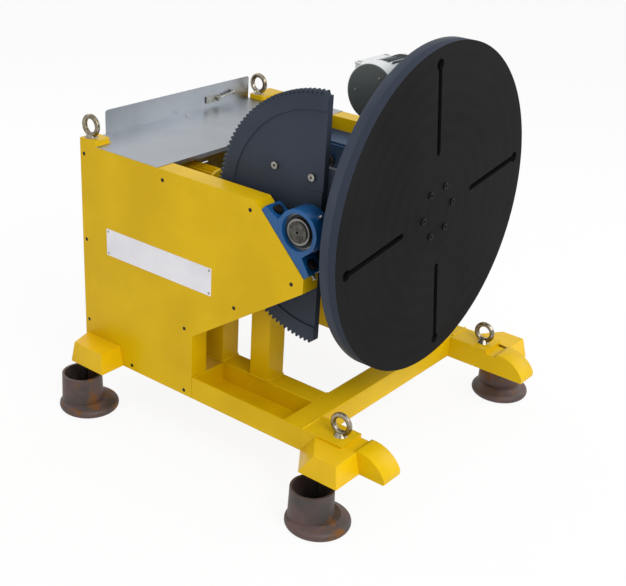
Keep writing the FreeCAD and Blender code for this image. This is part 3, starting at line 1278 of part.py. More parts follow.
def sector_gear():
    """Half-round tilt gear on the cradle's left side plate, thinned inside its toothed rim."""
    pitch = 2 * math.pi / SECTOR_TEETH
    count = SECTOR_TEETH // 2
    outline = gear_outline(SECTOR_TEETH, 0, count, -math.pi / 2 + pitch / 2)
    root_r = SECTOR_PITCH_R - 1.25 * MODULE
    points = [V(-SECTOR_OUT_X, TILT_Y + r * math.cos(a), TILT_Z + r * math.sin(a)) for r, a in outline]
    front_y = TILT_Y - SECTOR_FRONT_EDGE
    points = [V(-SECTOR_OUT_X, front_y, TILT_Z - root_r)] + points + [V(-SECTOR_OUT_X, front_y,
                                                                        TILT_Z + root_r)]
    blank = prism(points, V(SECTOR_T, 0, 0))
    recess = rod(SECTOR_STEP_R, tilt_point(-SECTOR_OUT_X, 0, 0),
                 tilt_point(-SECTOR_OUT_X + SECTOR_STEP, 0, 0))
    hub = rod(SECTOR_HUB_R, tilt_point(-SECTOR_OUT_X, 0, 0),
              tilt_point(-SECTOR_OUT_X + SECTOR_STEP, 0, 0))
    journal = rod(SHAFT_R + SEAT_FIT, tilt_point(-SECTOR_OUT_X, 0, 0), tilt_point(-SECTOR_IN_X, 0, 0))
    front_cut = box((-SECTOR_OUT_X - 1, -SECTOR_IN_X + 1), (TILT_Y - 2 * SECTOR_HUB_R, front_y),
                    (TILT_Z - SECTOR_HUB_R, TILT_Z + SECTOR_HUB_R))
    bolts = [rod(SECTOR_BOLT_R + BOLT_PLAY, tilt_point(-SECTOR_OUT_X, y, z),
                 tilt_point(-SECTOR_IN_X, y, z)) for y, z in SECTOR_BOLTS]
    return blank.cut(recess).fuse(hub).removeSplitter().cut([front_cut, journal] + bolts)


def sector_bolts():
    """Socket-head bolts of the sector gear."""
    bolts = []
    face_x = -SECTOR_OUT_X + SECTOR_STEP
    for y, z in SECTOR_BOLTS:
        shank = rod(SECTOR_BOLT_R, tilt_point(face_x, y, z), tilt_point(-SIDE_PLATE_X - 2, y, z))
        head = rod(SECTOR_BOLT_HEAD_R, tilt_point(face_x - SECTOR_BOLT_HEAD_H, y, z),
                   tilt_point(face_x, y, z))
        socket = hex_head(SECTOR_BOLT_R * 0.6, tilt_point(face_x - SECTOR_BOLT_HEAD_H, y, z),
                          tilt_point(face_x - 3, y, z))
        bolts.append(shank.fuse(head).removeSplitter().cut(socket))
    return group(bolts)


def tilt_shafts():
    """Both trunnions."""
    return group([tilt_shaft(side) for side in SIDES])


def slew_ring_inner():
    """Inner ring of the slewing bearing, fast on the cradle's front plate."""
    return ring(RING_IN_R - RUN_FIT * 2, SLEW_BORE_R, V(0, TABLE_BACK_Y + RING_SHELF, TABLE_Z),
                V(0, RING_REAR_Y, TABLE_Z))


def rotation_gearbox():
    """Worm gearbox behind the crown, bored for the rotation pinion's shaft."""
    x, z = ROTATION_PINION_X, ROTATION_PINION_Z
    y_range = (FRONT_PLATE_REAR_Y, FRONT_PLATE_REAR_Y + ROT_GEARBOX_W)
    case = box((x - GEARBOX_HALF, x + GEARBOX_HALF), (y_range[0] + 10, y_range[1]),
               (z - GEARBOX_HALF, z + GEARBOX_HALF))
    spigot = rod(GEARBOX_HALF * 0.9, V(x, y_range[0], z), V(x, y_range[1], z))
    middle_y = (y_range[0] + y_range[1]) / 2
    barrel = rod(WORM_BARREL_R, V(x - GEARBOX_HALF - 10, middle_y, z + GEARBOX_CENTRES),
                 V(x + GEARBOX_HALF, middle_y, z + GEARBOX_CENTRES))
    bore = rod(ROTATION_SHAFT_R + RUN_FIT, V(x, y_range[0], z), V(x, y_range[1], z))
    return fused([case, spigot, barrel]).cut(bore)


def rotation_motor_axis():
    """Start, y and z of the rotation motor's axis."""
    y = FRONT_PLATE_REAR_Y + ROT_GEARBOX_W / 2
    return ROTATION_PINION_X - GEARBOX_HALF - 10, y, ROTATION_PINION_Z + GEARBOX_CENTRES


def rotation_motor():
    """Motor on the rotation gearbox's worm, with its fan cowl at the left end."""
    start, y, z = rotation_motor_axis()
    cowl_x = ROT_MOTOR_END_X + ROT_COWL_L
    flange = rod(ROT_MOTOR_R, V(start, y, z), V(start - 12, y, z))
    body = rod(ROT_MOTOR_R * 0.88, V(start - 12, y, z), V(cowl_x, y, z))
    cowl = rod(ROT_MOTOR_R, V(cowl_x, y, z), V(ROT_MOTOR_END_X, y, z))
    rim = cowl.Edges
    outer_edge = [edge for edge in rim if abs(edge.CenterOfMass.x - ROT_MOTOR_END_X) < 0.1]
    return fused([flange, body, cowl.makeFillet(COWL_ROUND, outer_edge)])


def terminal_box():
    """Terminal box on the rear upper side of the rotation motor."""
    start, y, z = rotation_motor_axis()
    low_x, high_x = ROT_MOTOR_END_X + 8, start - 22
    top_z = z + TERMINAL_TOP
    case = box((low_x, high_x), (y + TERMINAL_FRONT, y + TERMINAL_REAR), (z + TERMINAL_LOW, top_z))
    return case.cut(rod(ROT_MOTOR_R + SEAT_FIT, V(ROT_MOTOR_END_X - 1, y, z), V(start + 1, y, z)))


def rotation_pinion():
    """Rotation pinion on its shaft, in mesh with the ring gear at rest."""
    x, z = ROTATION_PINION_X, ROTATION_PINION_Z
    line = math.atan2(z - TABLE_Z, x)
    outline = gear_outline(ROTATION_PINION_TEETH, 0, ROTATION_PINION_TEETH,
                           line + math.pi + math.pi / ROTATION_PINION_TEETH)
    front_y = TABLE_BACK_Y + PINION_EXTRA_W
    width = RING_REAR_Y - RING_SHELF - PINION_EXTRA_W - front_y
    gear = table_gear_face(front_y, outline, x, z).extrude(V(0, width, 0))
    shaft = rod(ROTATION_SHAFT_R, V(x, front_y, z), V(x, FRONT_PLATE_REAR_Y + ROT_GEARBOX_W - 2, z))
    return fused([gear, shaft])


# ---------------------------------------------------------------- table
def slew_ring_gear():
    """Outer ring of the slewing bearing with the rotation teeth, bolted behind the table."""
    phase = math.atan2(ROTATION_PINION_Z - TABLE_Z, ROTATION_PINION_X)
    outline = gear_outline(RING_TEETH, 0, RING_TEETH, phase)
    length = RING_REAR_Y - RING_SHELF - TABLE_BACK_Y
    blank = table_gear_face(TABLE_BACK_Y, outline, 0, TABLE_Z).extrude(V(0, length, 0))
    return blank.cut(rod(RING_IN_R, V(0, TABLE_BACK_Y, TABLE_Z), V(0, TABLE_BACK_Y + length, TABLE_Z)))


def slot_tool(half_width, y_from, y_to, turn):
    """Radial slot with a round inner end, at a turn about the table's axis."""
    quarter = FreeCAD.Rotation(V(0, -1, 0), turn)
    strip = box((SLOT_IN_R, SLOT_OUT_R), (y_from, y_to), (-half_width, half_width))
    end = rod(half_width, V(SLOT_IN_R, y_from, 0), V(SLOT_IN_R, y_to, 0))
    shape = strip.fuse(end)
    shape.Placement = FreeCAD.Placement(V(0, 0, TABLE_Z), quarter)
    return shape


def table_plate():
    """Round table with four T-slots that open into round entry holes."""
    plate = rod(TABLE_R, V(0, TABLE_FACE_Y, TABLE_Z), V(0, TABLE_BACK_Y, TABLE_Z))
    tools = []
    for quarter in range(4):
        turn = SLOT_TURN + 90 * quarter
        tools.append(slot_tool(SLOT_HALF_W, TABLE_FACE_Y, TABLE_BACK_Y, turn))
        tools.append(slot_tool(SLOT_HEAD_HALF_W, TABLE_FACE_Y + SLOT_LIP_T, TABLE_BACK_Y, turn))
        angle = math.radians(turn)
        x, z = SLOT_OUT_R * math.cos(angle), TABLE_Z + SLOT_OUT_R * math.sin(angle)
        tools.append(rod(SLOT_ENTRY_R, V(x, TABLE_FACE_Y, z), V(x, TABLE_BACK_Y, z)))
    tools += table_bolt_tools(TABLE_FACE_Y, TABLE_BACK_Y, TABLE_BOLT_R + BOLT_PLAY)
    tools += table_bolt_tools(TABLE_FACE_Y, TABLE_FACE_Y + TABLE_BOLT_SINK, TABLE_BOLT_HEAD_R + 1)
    return plate.cut(tools)


def table_bolt_tools(y_from, y_to, radius):
    """Cylinders on the circle of the central table bolts."""
    tools = []
    for index in range(TABLE_BOLT_COUNT):
        angle = math.radians(SLOT_TURN + TABLE_BOLT_TURN + 360 / TABLE_BOLT_COUNT * index)
        x, z = TABLE_BOLT_PCR * math.cos(angle), TABLE_Z + TABLE_BOLT_PCR * math.sin(angle)
        tools.append(rod(radius, V(x, y_from, z), V(x, y_to, z)))
    return tools


def table_rim():
    """Deep band behind the table's edge."""
    rear_y = TABLE_FACE_Y + RIM_DEPTH
    return ring(TABLE_R, TABLE_R - RIM_WALL, V(0, TABLE_BACK_Y, TABLE_Z), V(0, rear_y, TABLE_Z))


def table_bolts():
    """Socket-head bolts that hold the table on its hub."""
    shanks = table_bolt_tools(TABLE_FACE_Y + TABLE_BOLT_SINK, TABLE_BACK_Y + 25, TABLE_BOLT_R)
    heads = table_bolt_tools(TABLE_FACE_Y + TABLE_BOLT_SINK - TABLE_BOLT_HEAD_H,
                             TABLE_FACE_Y + TABLE_BOLT_SINK, TABLE_BOLT_HEAD_R)
    bolts = []
    for shank, head in zip(shanks, heads):
        centre = head.CenterOfMass
        top = V(centre.x, TABLE_FACE_Y + TABLE_BOLT_SINK - TABLE_BOLT_HEAD_H, centre.z)
        socket = hex_head(TABLE_BOLT_R * 0.75, top, top.add(V(0, TABLE_BOLT_HEAD_H * 0.6, 0)))
        bolts.append(shank.fuse(head).removeSplitter().cut(socket))
    return group(bolts)


def table_hub():
    """Round hub behind the table, through the cradle, for the earth return."""
    hub = rod(HUB_R, V(0, TABLE_BACK_Y, TABLE_Z), V(0, TABLE_BACK_Y + HUB_L, TABLE_Z))
    return hub.cut(table_bolt_tools(TABLE_BACK_Y, TABLE_BACK_Y + 27, TABLE_BOLT_R + BOLT_PLAY))


# ---------------------------------------------------------------- all pieces
PIECES = {
    "base_rails": base_rails,
    "front_cross_beam": front_cross_beam,
    "rear_cross_beam": rear_cross_beam,
    "side_trays": side_trays,
    "front_noses": front_noses,
    "foot_brackets": foot_brackets,
    "bracket_bolts": bracket_bolts,
    "foot_hoods": foot_hoods,
    "front_left_foot_pad": lambda: foot_pad(LEFT, FRONT_FOOT_Y),
    "front_right_foot_pad": lambda: foot_pad(RIGHT, FRONT_FOOT_Y),
    "rear_left_foot_pad": lambda: foot_pad(LEFT, REAR_FOOT_Y),
    "rear_right_foot_pad": lambda: foot_pad(RIGHT, REAR_FOOT_Y),
    "front_left_foot_stud": lambda: foot_stud(LEFT, FRONT_FOOT_Y),
    "front_right_foot_stud": lambda: foot_stud(RIGHT, FRONT_FOOT_Y),
    "rear_left_foot_stud": lambda: foot_stud(LEFT, REAR_FOOT_Y),
    "rear_right_foot_stud": lambda: foot_stud(RIGHT, REAR_FOOT_Y),
    "lock_nuts": lock_nuts,
    "left_side_frame": lambda: side_frame(LEFT),
    "right_side_frame": lambda: side_frame(RIGHT),
    "side_panels": lambda: group([side_panel(side) for side in SIDES]),
    "panel_screws": panel_screws,
    "name_plate": name_plate,
    "name_plate_rivets": name_plate_rivets,
    "bearing_seats": bearing_seats,
    "bearing_housings": lambda: group([bearing_housing(side) for side in SIDES]),
    "housing_bolts": housing_bolts,
    "grease_nipples": grease_nipples,
    "bearing_outer_rings": bearing_outer_rings,
    "bearing_inner_rings": bearing_inner_rings,
    "bearing_balls": bearing_balls,
    "bearing_seals": bearing_seals,
    "tilt_shafts": tilt_shafts,
    "lifting_tabs": lifting_tabs,
    "eye_bolts": eye_bolts,
    "top_tie": top_tie,
    "top_cover": top_cover,
    "rear_cover": rear_cover,
    "cover_screws": cover_screws,
    "latch_base": latch_base,
    "latch_lever": latch_lever,
    "drive_stand": drive_stand,
    "tilt_gearbox": tilt_gearbox,
    "tilt_motor": tilt_motor,
    "pinion_bearing": pinion_bearing,
    "tilt_pinion_shaft": tilt_pinion_shaft,
    "control_box": control_box,
    "cable_gland": cable_gland,
    "cradle": cradle,
    "sector_gear": sector_gear,
    "sector_bolts": sector_bolts,
    "slew_ring_inner": slew_ring_inner,
    "rotation_gearbox": rotation_gearbox,
    "rotation_motor": rotation_motor,
    "terminal_box": terminal_box,
    "rotation_pinion": rotation_pinion,
    "slew_ring_gear": slew_ring_gear,
    "table_plate": table_plate,
    "table_rim": table_rim,
    "table_bolts": table_bolts,
    "table_hub": table_hub,
}


def main():
    """Write one STEP file for each piece."""
    os.makedirs("parts", exist_ok=True)
    for name, build in PIECES.items():
        build().exportStep("parts/" + name + ".step")


main()
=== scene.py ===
"""Looks of a tilting and turning welding positioner, built round its fixed frame."""

import logging
import math
from collections.abc import Callable
from dataclasses import dataclass, field
from enum import Enum
from typing import Any

import bmesh
import bpy
from mathutils import Matrix, Vector


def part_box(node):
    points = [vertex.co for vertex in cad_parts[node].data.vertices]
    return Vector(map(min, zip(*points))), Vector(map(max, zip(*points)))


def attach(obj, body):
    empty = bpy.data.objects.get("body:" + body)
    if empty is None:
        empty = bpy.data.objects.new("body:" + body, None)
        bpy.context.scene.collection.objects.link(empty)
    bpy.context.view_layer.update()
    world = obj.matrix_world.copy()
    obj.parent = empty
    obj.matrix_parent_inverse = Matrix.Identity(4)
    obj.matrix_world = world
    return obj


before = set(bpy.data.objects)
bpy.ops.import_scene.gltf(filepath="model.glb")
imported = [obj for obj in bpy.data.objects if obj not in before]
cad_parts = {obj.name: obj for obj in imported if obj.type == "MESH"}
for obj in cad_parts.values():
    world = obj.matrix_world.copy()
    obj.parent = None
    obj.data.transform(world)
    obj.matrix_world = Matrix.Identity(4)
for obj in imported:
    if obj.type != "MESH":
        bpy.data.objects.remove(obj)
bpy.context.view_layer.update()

log = logging.getLogger("positioner")
MM = 0.001
LOOKS = 0.9  # least part of a normal along an axis for a face that looks that way
RING_GAP = 0.314  # metres between the rings of a wave texture of scale 1
SIDES = 40  # faces round a drum or hoop where nothing else is asked for
SHARP = 35.0  # least turn in degrees between two faces whose edge is rounded
Piece = bpy.types.Object
Tree = bpy.types.NodeTree
FEET = ("front_left_foot", "front_right_foot", "rear_left_foot", "rear_right_foot")
UP = Vector((0.0, 0.0, 1.0))
Test = Callable[[Vector, Vector], bool]
Pair = tuple[float, float]
Point = tuple[float, float, float]


# ------------------------ finishes
def linear(code: str) -> tuple[float, float, float, float]:
    """Turns a hex colour into the linear one that a shader takes.

    Args:
        code: an sRGB colour such as "#e0b000".

    Returns:
        Red, green and blue in linear light, and 1 for alpha.
    """
    parts = [int(code[i:i + 2], 16) / 255 for i in (1, 3, 5)]
    red, green, blue = [p / 12.92 if p <= 0.04045 else ((p + 0.055) / 1.055) ** 2.4 for p in parts]
    return red, green, blue, 1.0


def add_node(tree: Tree, kind: str, settings: dict[Any, Any], links: dict[Any, Any], out: Any = 0) -> Any:
    """Adds one shader node.

    Args:
        tree: the material's node tree.
        kind: Blender's name for the node's type, less "ShaderNode".
        settings: values of the node's own options or of its inputs.
        links: what feeds each input, an output socket of another node.
        out: which output is wanted.

    Returns:
        That output socket, or None where the node has no output.
    """
    node = tree.nodes.new("ShaderNode" + kind)
    for key, value in settings.items():
        if isinstance(key, str) and hasattr(node, key):
            setattr(node, key, value)
        else:
            node.inputs[key].default_value = value
    for key, socket in links.items():
        tree.links.new(socket, node.inputs[key])
    return node.outputs[out] if node.outputs else None


class Around(Enum):
    """The axis that turned marks circle."""

    X = "X"
    Y = "Y"
    Z = "Z"


@dataclass(frozen=True)
class Finish:
    """A real surface: two close colours, how smooth it is, the sizes of its marks, and the record's slot."""

    name: str
    colour: str
    second: str
    roughness: float
    slot: str = ""
    metallic: float = 0.0
    specular: float = 0.5
    coat: float = 0.0
    coat_roughness: float = 0.12
    swing: float = 0.06
    patch_mm: float = 260.0
    grain_mm: float = 3.0
    grain_draw: Point = (1.0, 1.0, 1.0)
    bump: float = 0.15
    bump_mm: float = 0.2
    flecks: str = ""
    fleck_mm: float = 30.0
    fleck_from: float = 0.66
    fleck_edge: float = 0.05
    fleck_dulls: float = 0.3

    def build(self) -> bpy.types.Material:
        """Makes the material.

        Returns:
            A material on object coordinates.
        """
        made = bpy.data.materials.new(self.name)
        made.use_nodes = True
        tree = made.node_tree
        tree.nodes.clear()
        place = add_node(tree, "TexCoord", {}, {}, "Object")
        patch = add_node(
            tree, "TexNoise", {"Scale": 1 / (self.patch_mm * MM), "Detail": 3.0}, {"Vector": place}, "Fac")
        share = add_node(tree, "MapRange", {"From Min": 0.35, "From Max": 0.65}, {"Value": patch})
        colour = add_node(
            tree, "Mix", {"data_type": "RGBA", 6: linear(self.colour), 7: linear(self.second)}, {0: share}, 2)
        dull = add_node(
            tree, "MapRange",
            {"To Min": self.roughness - self.swing, "To Max": self.roughness + self.swing}, {"Value": patch})
        if self.flecks:
            colour, dull = self.fleck(tree, place, colour, dull)
        colour, height = self.marks(tree, place, colour)
        drawn = add_node(tree, "Mapping", {"Scale": self.grain_draw}, {"Vector": place})
        grain = add_node(
            tree, "TexNoise", {"Scale": 1 / (self.grain_mm * MM), "Detail": 2.0}, {"Vector": drawn}, "Fac")
        if height is not None:
            grain = add_node(tree, "Math", {"operation": "ADD"}, {0: grain, 1: height})
        bump = add_node(
            tree, "Bump", {"Strength": self.bump, "Distance": self.bump_mm * MM}, {"Height": grain})
        shader = add_node(
            tree, "BsdfPrincipled",
            {"Metallic": self.metallic, "Specular IOR Level": self.specular, "Coat Weight": self.coat,
             "Coat Roughness": self.coat_roughness}, {"Base Color": colour, "Roughness": dull, "Normal": bump})
        add_node(tree, "OutputMaterial", {}, {"Surface": shader})
        return made

    def fleck(self, tree: Tree, place: Any, colour: Any, dull: Any) -> tuple[Any, Any]:
        """Adds chips, dust or rust flecks.

        Args:
            tree: the material's node tree.
            place: object coordinates.
            colour: the colour so far.
            dull: the roughness so far.

        Returns:
            The colour and the roughness with the flecks on them.
        """
        spots = add_node(
            tree, "TexNoise", {"Scale": 1 / (self.fleck_mm * MM), "Detail": 6.0, "Roughness": 0.65},
            {"Vector": place}, "Fac")
        edge = add_node(
            tree, "MapRange", {"From Min": self.fleck_from, "From Max": self.fleck_from + self.fleck_edge},
            {"Value": spots})
        mixed = add_node(tree, "Mix", {"data_type": "RGBA", 7: linear(self.flecks)}, {0: edge, 6: colour}, 2)
        rough = min(0.9, self.roughness + self.fleck_dulls)
        return mixed, add_node(tree, "Mix", {3: rough}, {0: edge, 2: dull})

    def marks(self, tree: Tree, place: Any, colour: Any) -> tuple[Any, Any]:
        """No marks on a plain finish."""
        return colour, None


@dataclass(frozen=True)
class TurnedFinish(Finish):
    """A surface cut on a lathe or boring mill, with tool marks round one axis."""

    around: Around = Around.Y
    centre_mm: Point = (0.0, 0.0, 0.0)
    mark_mm: float = 6.0
    mark_colour: str = "#2c2c2e"
    mark_share: float = 0.35
    broad: float = 9.7
    # side colour: on a plate, paint on the sides the tool didn't cut; on the motor, a painted highlight on
    # every face but its end
    side_colour: str = ""
    side_colour_from_mm: float = 0.0

    def marks(self, tree: Tree, place: Any, colour: Any) -> tuple[Any, Any]:
        """Adds the rings that the tool left, and the side colour: paint on a plate's uncut sides, a painted
        highlight on a motor's barrel.

        Args:
            tree: the material's node tree.
            place: object coordinates.
            colour: the colour so far.

        Returns:
            The colour with the rings in it, and the rings' height.
        """
        aside = tuple(-c * MM for c in self.centre_mm)
        centred = add_node(tree, "Mapping", {"Location": aside}, {"Vector": place})
        rings = []
        for pitch in (self.mark_mm, self.mark_mm * self.broad):
            rings.append(add_node(
                tree, "TexWave",
                {"wave_type": "RINGS", "rings_direction": self.around.value, "Scale": RING_GAP / (pitch * MM),
                 "Distortion": 0.4, "Detail": 1.0}, {"Vector": centred}, "Fac"))
        both = add_node(tree, "Math", {"operation": "MULTIPLY"}, {0: rings[0], 1: rings[1]})
        share = add_node(tree, "MapRange", {"To Max": self.mark_share}, {"Value": both})
        mixed = add_node(
            tree, "Mix", {"data_type": "RGBA", 7: linear(self.mark_colour)}, {0: share, 6: colour}, 2)
        if self.side_colour:
            side_mask = self.side_mask(tree, centred)
            mixed = add_node(
                tree, "Mix", {"data_type": "RGBA", 7: linear(self.side_colour)}, {0: side_mask, 6: mixed}, 2)
        return mixed, rings[0]

    def side_mask(self, tree: Tree, centred: Any) -> Any:
        """Finds the sides that take the side colour: those that don't look along the axis, far enough from it.

        Args:
            tree: the material's node tree.
            centred: coordinates from the axis.

        Returns:
            An output that is one there and nought elsewhere.
        """
        facing = add_node(tree, "TexCoord", {}, {}, "Normal")
        along = add_node(tree, "SeparateXYZ", {}, {0: facing}, self.around.value)
        away = add_node(tree, "MapRange", {"From Min": -LOOKS, "From Max": 0.1 - LOOKS}, {"Value": along})
        flat = tuple(0.0 if name == self.around.value else 1.0 for name in "XYZ")
        radial = add_node(tree, "VectorMath", {"operation": "MULTIPLY", 1: flat}, {0: centred})
        reach = add_node(tree, "VectorMath", {"operation": "LENGTH"}, {0: radial}, "Value")
        start = self.side_colour_from_mm * MM
        outer = add_node(tree, "MapRange", {"From Min": start - MM, "From Max": start}, {"Value": reach})
        return add_node(tree, "Math", {"operation": "MULTIPLY"}, {0: away, 1: outer})


# even, with faint orange peel and a few dark chips
YELLOW_ENAMEL = Finish(
    "yellow_two_pack_enamel", "#deb603", "#d2aa03", 0.36, specular=0.12, coat=0.04, grain_mm=3.5, bump=0.12,
    bump_mm=0.15, flecks="#8d6d16", fleck_mm=9.0, fleck_from=0.79, slot="yellow_paint")
# the same enamel on the rougher welded hoods, mixed a little lighter than the frame's: a painted highlight, as
# the hoods face the light
HOOD_ENAMEL_PAINTED_LIGHTER = Finish(
    "yellow_enamel_painted_lighter_on_hoods", "#e6bb02", "#daae03", 0.38, specular=0.2, coat=0.08, grain_mm=14.0,
    bump=0.3, bump_mm=0.9)
# structure paint of the gear and the tilting body
GREY_BLUE_ENAMEL = Finish(
    "grey_blue_eggshell_enamel", "#3a414e", "#333a46", 0.5, specular=0.12, grain_mm=2.5, bump=0.15,
    bump_mm=0.12, flecks="#4a515c", fleck_mm=12.0, fleck_from=0.76, slot="grey_blue_paint")
# straight on a sand casting, whose lumps show through
BLUE_CASTING = Finish(
    "blue_enamel_on_grey_iron_casting", "#14568f", "#0f4677", 0.34, specular=0.35, coat=0.1, grain_mm=5.0,
    bump=0.35, bump_mm=0.5, flecks="#0a2f52", fleck_mm=14.0, fleck_from=0.74)
# faced and blackened: dull, with broad tool rings, its back and rim painted
BLACKENED_PLATE = TurnedFinish(
    "blackened_turned_plate", "#121213", "#19191a", 0.6, specular=0.04, patch_mm=340.0, bump=0.1, bump_mm=0.1,
    around=Around.Y, centre_mm=(0.0, 0.0, 985.0), mark_mm=7.0, mark_colour="#212120", mark_share=0.3,
    side_colour="#343b47", side_colour_from_mm=575.0)
# left bare: fine rings, dulled by oil and dust
TURNED_STEEL = TurnedFinish(
    "turned_bare_steel", "#62605b", "#474540", 0.42, metallic=1.0, patch_mm=22.0, bump=0.2, bump_mm=0.1,
    around=Around.X, centre_mm=(0.0, -325.0, 1000.0), mark_mm=2.4, mark_colour="#34322f", mark_share=0.6,
    flecks="#262321", fleck_mm=16.0, fleck_from=0.6)
# gears and bearing races
GROUND_STEEL = Finish(
    "ground_steel", "#8d8c89", "#757471", 0.32, metallic=1.0, patch_mm=40.0, grain_mm=1.2, bump=0.12,
    bump_mm=0.05)
# fasteners: pale, slightly mottled
ZINC_PLATE = Finish(
    "zinc_plated_steel", "#a5a49e", "#838179", 0.36, metallic=1.0, patch_mm=12.0, grain_mm=2.0, bump=0.15,
    flecks="#8c7a52", fleck_mm=18.0, fleck_from=0.68, slot="zinc_steel")
# eyes: bright, with a brown tint in the hollows
FORGED_STEEL = Finish(
    "forged_polished_steel", "#a39a8a", "#6a614f", 0.24, metallic=1.0, patch_mm=26.0, grain_mm=4.0, bump=0.25,
    bump_mm=0.3)
# fasteners: near black with a brown cast
BLACK_OXIDE = Finish(
    "black_oxide_steel", "#211f1e", "#2f2a26", 0.44, metallic=0.5, specular=0.3, patch_mm=9.0, grain_mm=2.0,
    bump=0.2, flecks="#4d3d30", fleck_mm=8.0, fleck_from=0.68)
# cap screws sunk in the table, black and oiled
OILED_BLACK = Finish(
    "oiled_blackened_steel", "#101011", "#171718", 0.5, metallic=0.2, specular=0.15, patch_mm=9.0,
    grain_mm=2.0, bump=0.2, slot="black_plate")
# pads left in the open: scale, oil and thin rust
RUSTY_CASTING = Finish(
    "oiled_rusty_cast_steel", "#47413f", "#604c49", 0.52, metallic=0.3, specular=0.3, patch_mm=90.0,
    grain_mm=4.0, bump=0.3, bump_mm=0.5, flecks="#74502c", fleck_mm=130.0, fleck_from=0.55)
# brushed along the sheet
BRUSHED_STAINLESS = Finish(
    "brushed_stainless_sheet", "#a0a4a9", "#969a9f", 0.34, metallic=1.0, swing=0.04, patch_mm=300.0,
    grain_mm=1.6, grain_draw=(0.02, 1.0, 1.0), bump=0.12, bump_mm=0.05)
SILVER_SPRAY = Finish(
    "silver_sprayed_die_casting", "#dfe1e2", "#cfd2d3", 0.34, metallic=0.1, coat=0.1, grain_mm=2.5, bump=0.15,
    slot="aluminium_cast")
# dusty in the corners
MOTOR_GREY = Finish(
    "grey_enamel_on_motor_frame", "#555b5e", "#484e51", 0.42, specular=0.3, bump=0.2, bump_mm=0.3,
    flecks="#70746f", fleck_mm=10.0, fleck_from=0.74, slot="aluminium_cast")
# grey motor casting: every face but the end lid is painted pale silver, a painted highlight where the lit
# barrel shows white, so the darker grey end reads as painted shade
MOTOR_GREY_WITH_PAINTED_HIGHLIGHT = TurnedFinish(
    "motor_casting_with_painted_highlight", "#565a57", "#4c5152", 0.4, specular=0.35, bump=0.2,
    around=Around.X, mark_mm=9.0, mark_colour="#474b4b", mark_share=0.4, side_colour="#d9dcde")
WHITE_PLATE = Finish(
    "white_sprayed_aluminium", "#e9e8ed", "#dfdee4", 0.42, specular=0.25, patch_mm=160.0, grain_mm=2.0,
    bump=0.06, flecks="#c9c6c1", fleck_mm=22.0, fleck_from=0.7)
CABINET_BLUE = Finish(
    "dark_blue_powder_coat", "#1d3f63", "#193756", 0.42, specular=0.3, grain_mm=1.6, bump=0.3, bump_mm=0.15,
    slot="blue_paint")
# soft sheen, fine spark-eroded grain
BLACK_NYLON = Finish(
    "moulded_black_nylon", "#1b1b1d", "#232325", 0.5, patch_mm=30.0, grain_mm=0.8, bump=0.25,
    slot="black_plastic")
NITRILE_RUBBER = Finish(
    "nitrile_seal_rubber", "#161515", "#1f1d1c", 0.62, patch_mm=14.0, grain_mm=1.0, bump=0.2)
RED_ACETAL = Finish(
    "moulded_red_acetal", "#a3201c", "#8e1c19", 0.36, patch_mm=20.0, grain_mm=0.8, bump=0.1,
    slot="black_plastic")
GREEN_LENS = Finish(
    "moulded_green_lens", "#1f7a45", "#1a6a3c", 0.2, patch_mm=14.0, bump=0.05, slot="black_plastic")


@dataclass
class Paintshop:
    """Makes each finish once and hands it out."""

    made: dict[str, bpy.types.Material] = field(default_factory=dict)

    def coat(self, piece: Piece, finish: Finish) -> None:
        """Puts one finish all over a piece.

        Args:
            piece: a CAD node or a new piece.
            finish: what it is finished with.
        """
        if finish.name not in self.made:
            self.made[finish.name] = finish.build()
        if not piece.data.materials:
            piece.data.materials.append(self.made[finish.name])
        for index in range(len(piece.data.materials)):
            piece.data.materials[index] = self.made[finish.name]


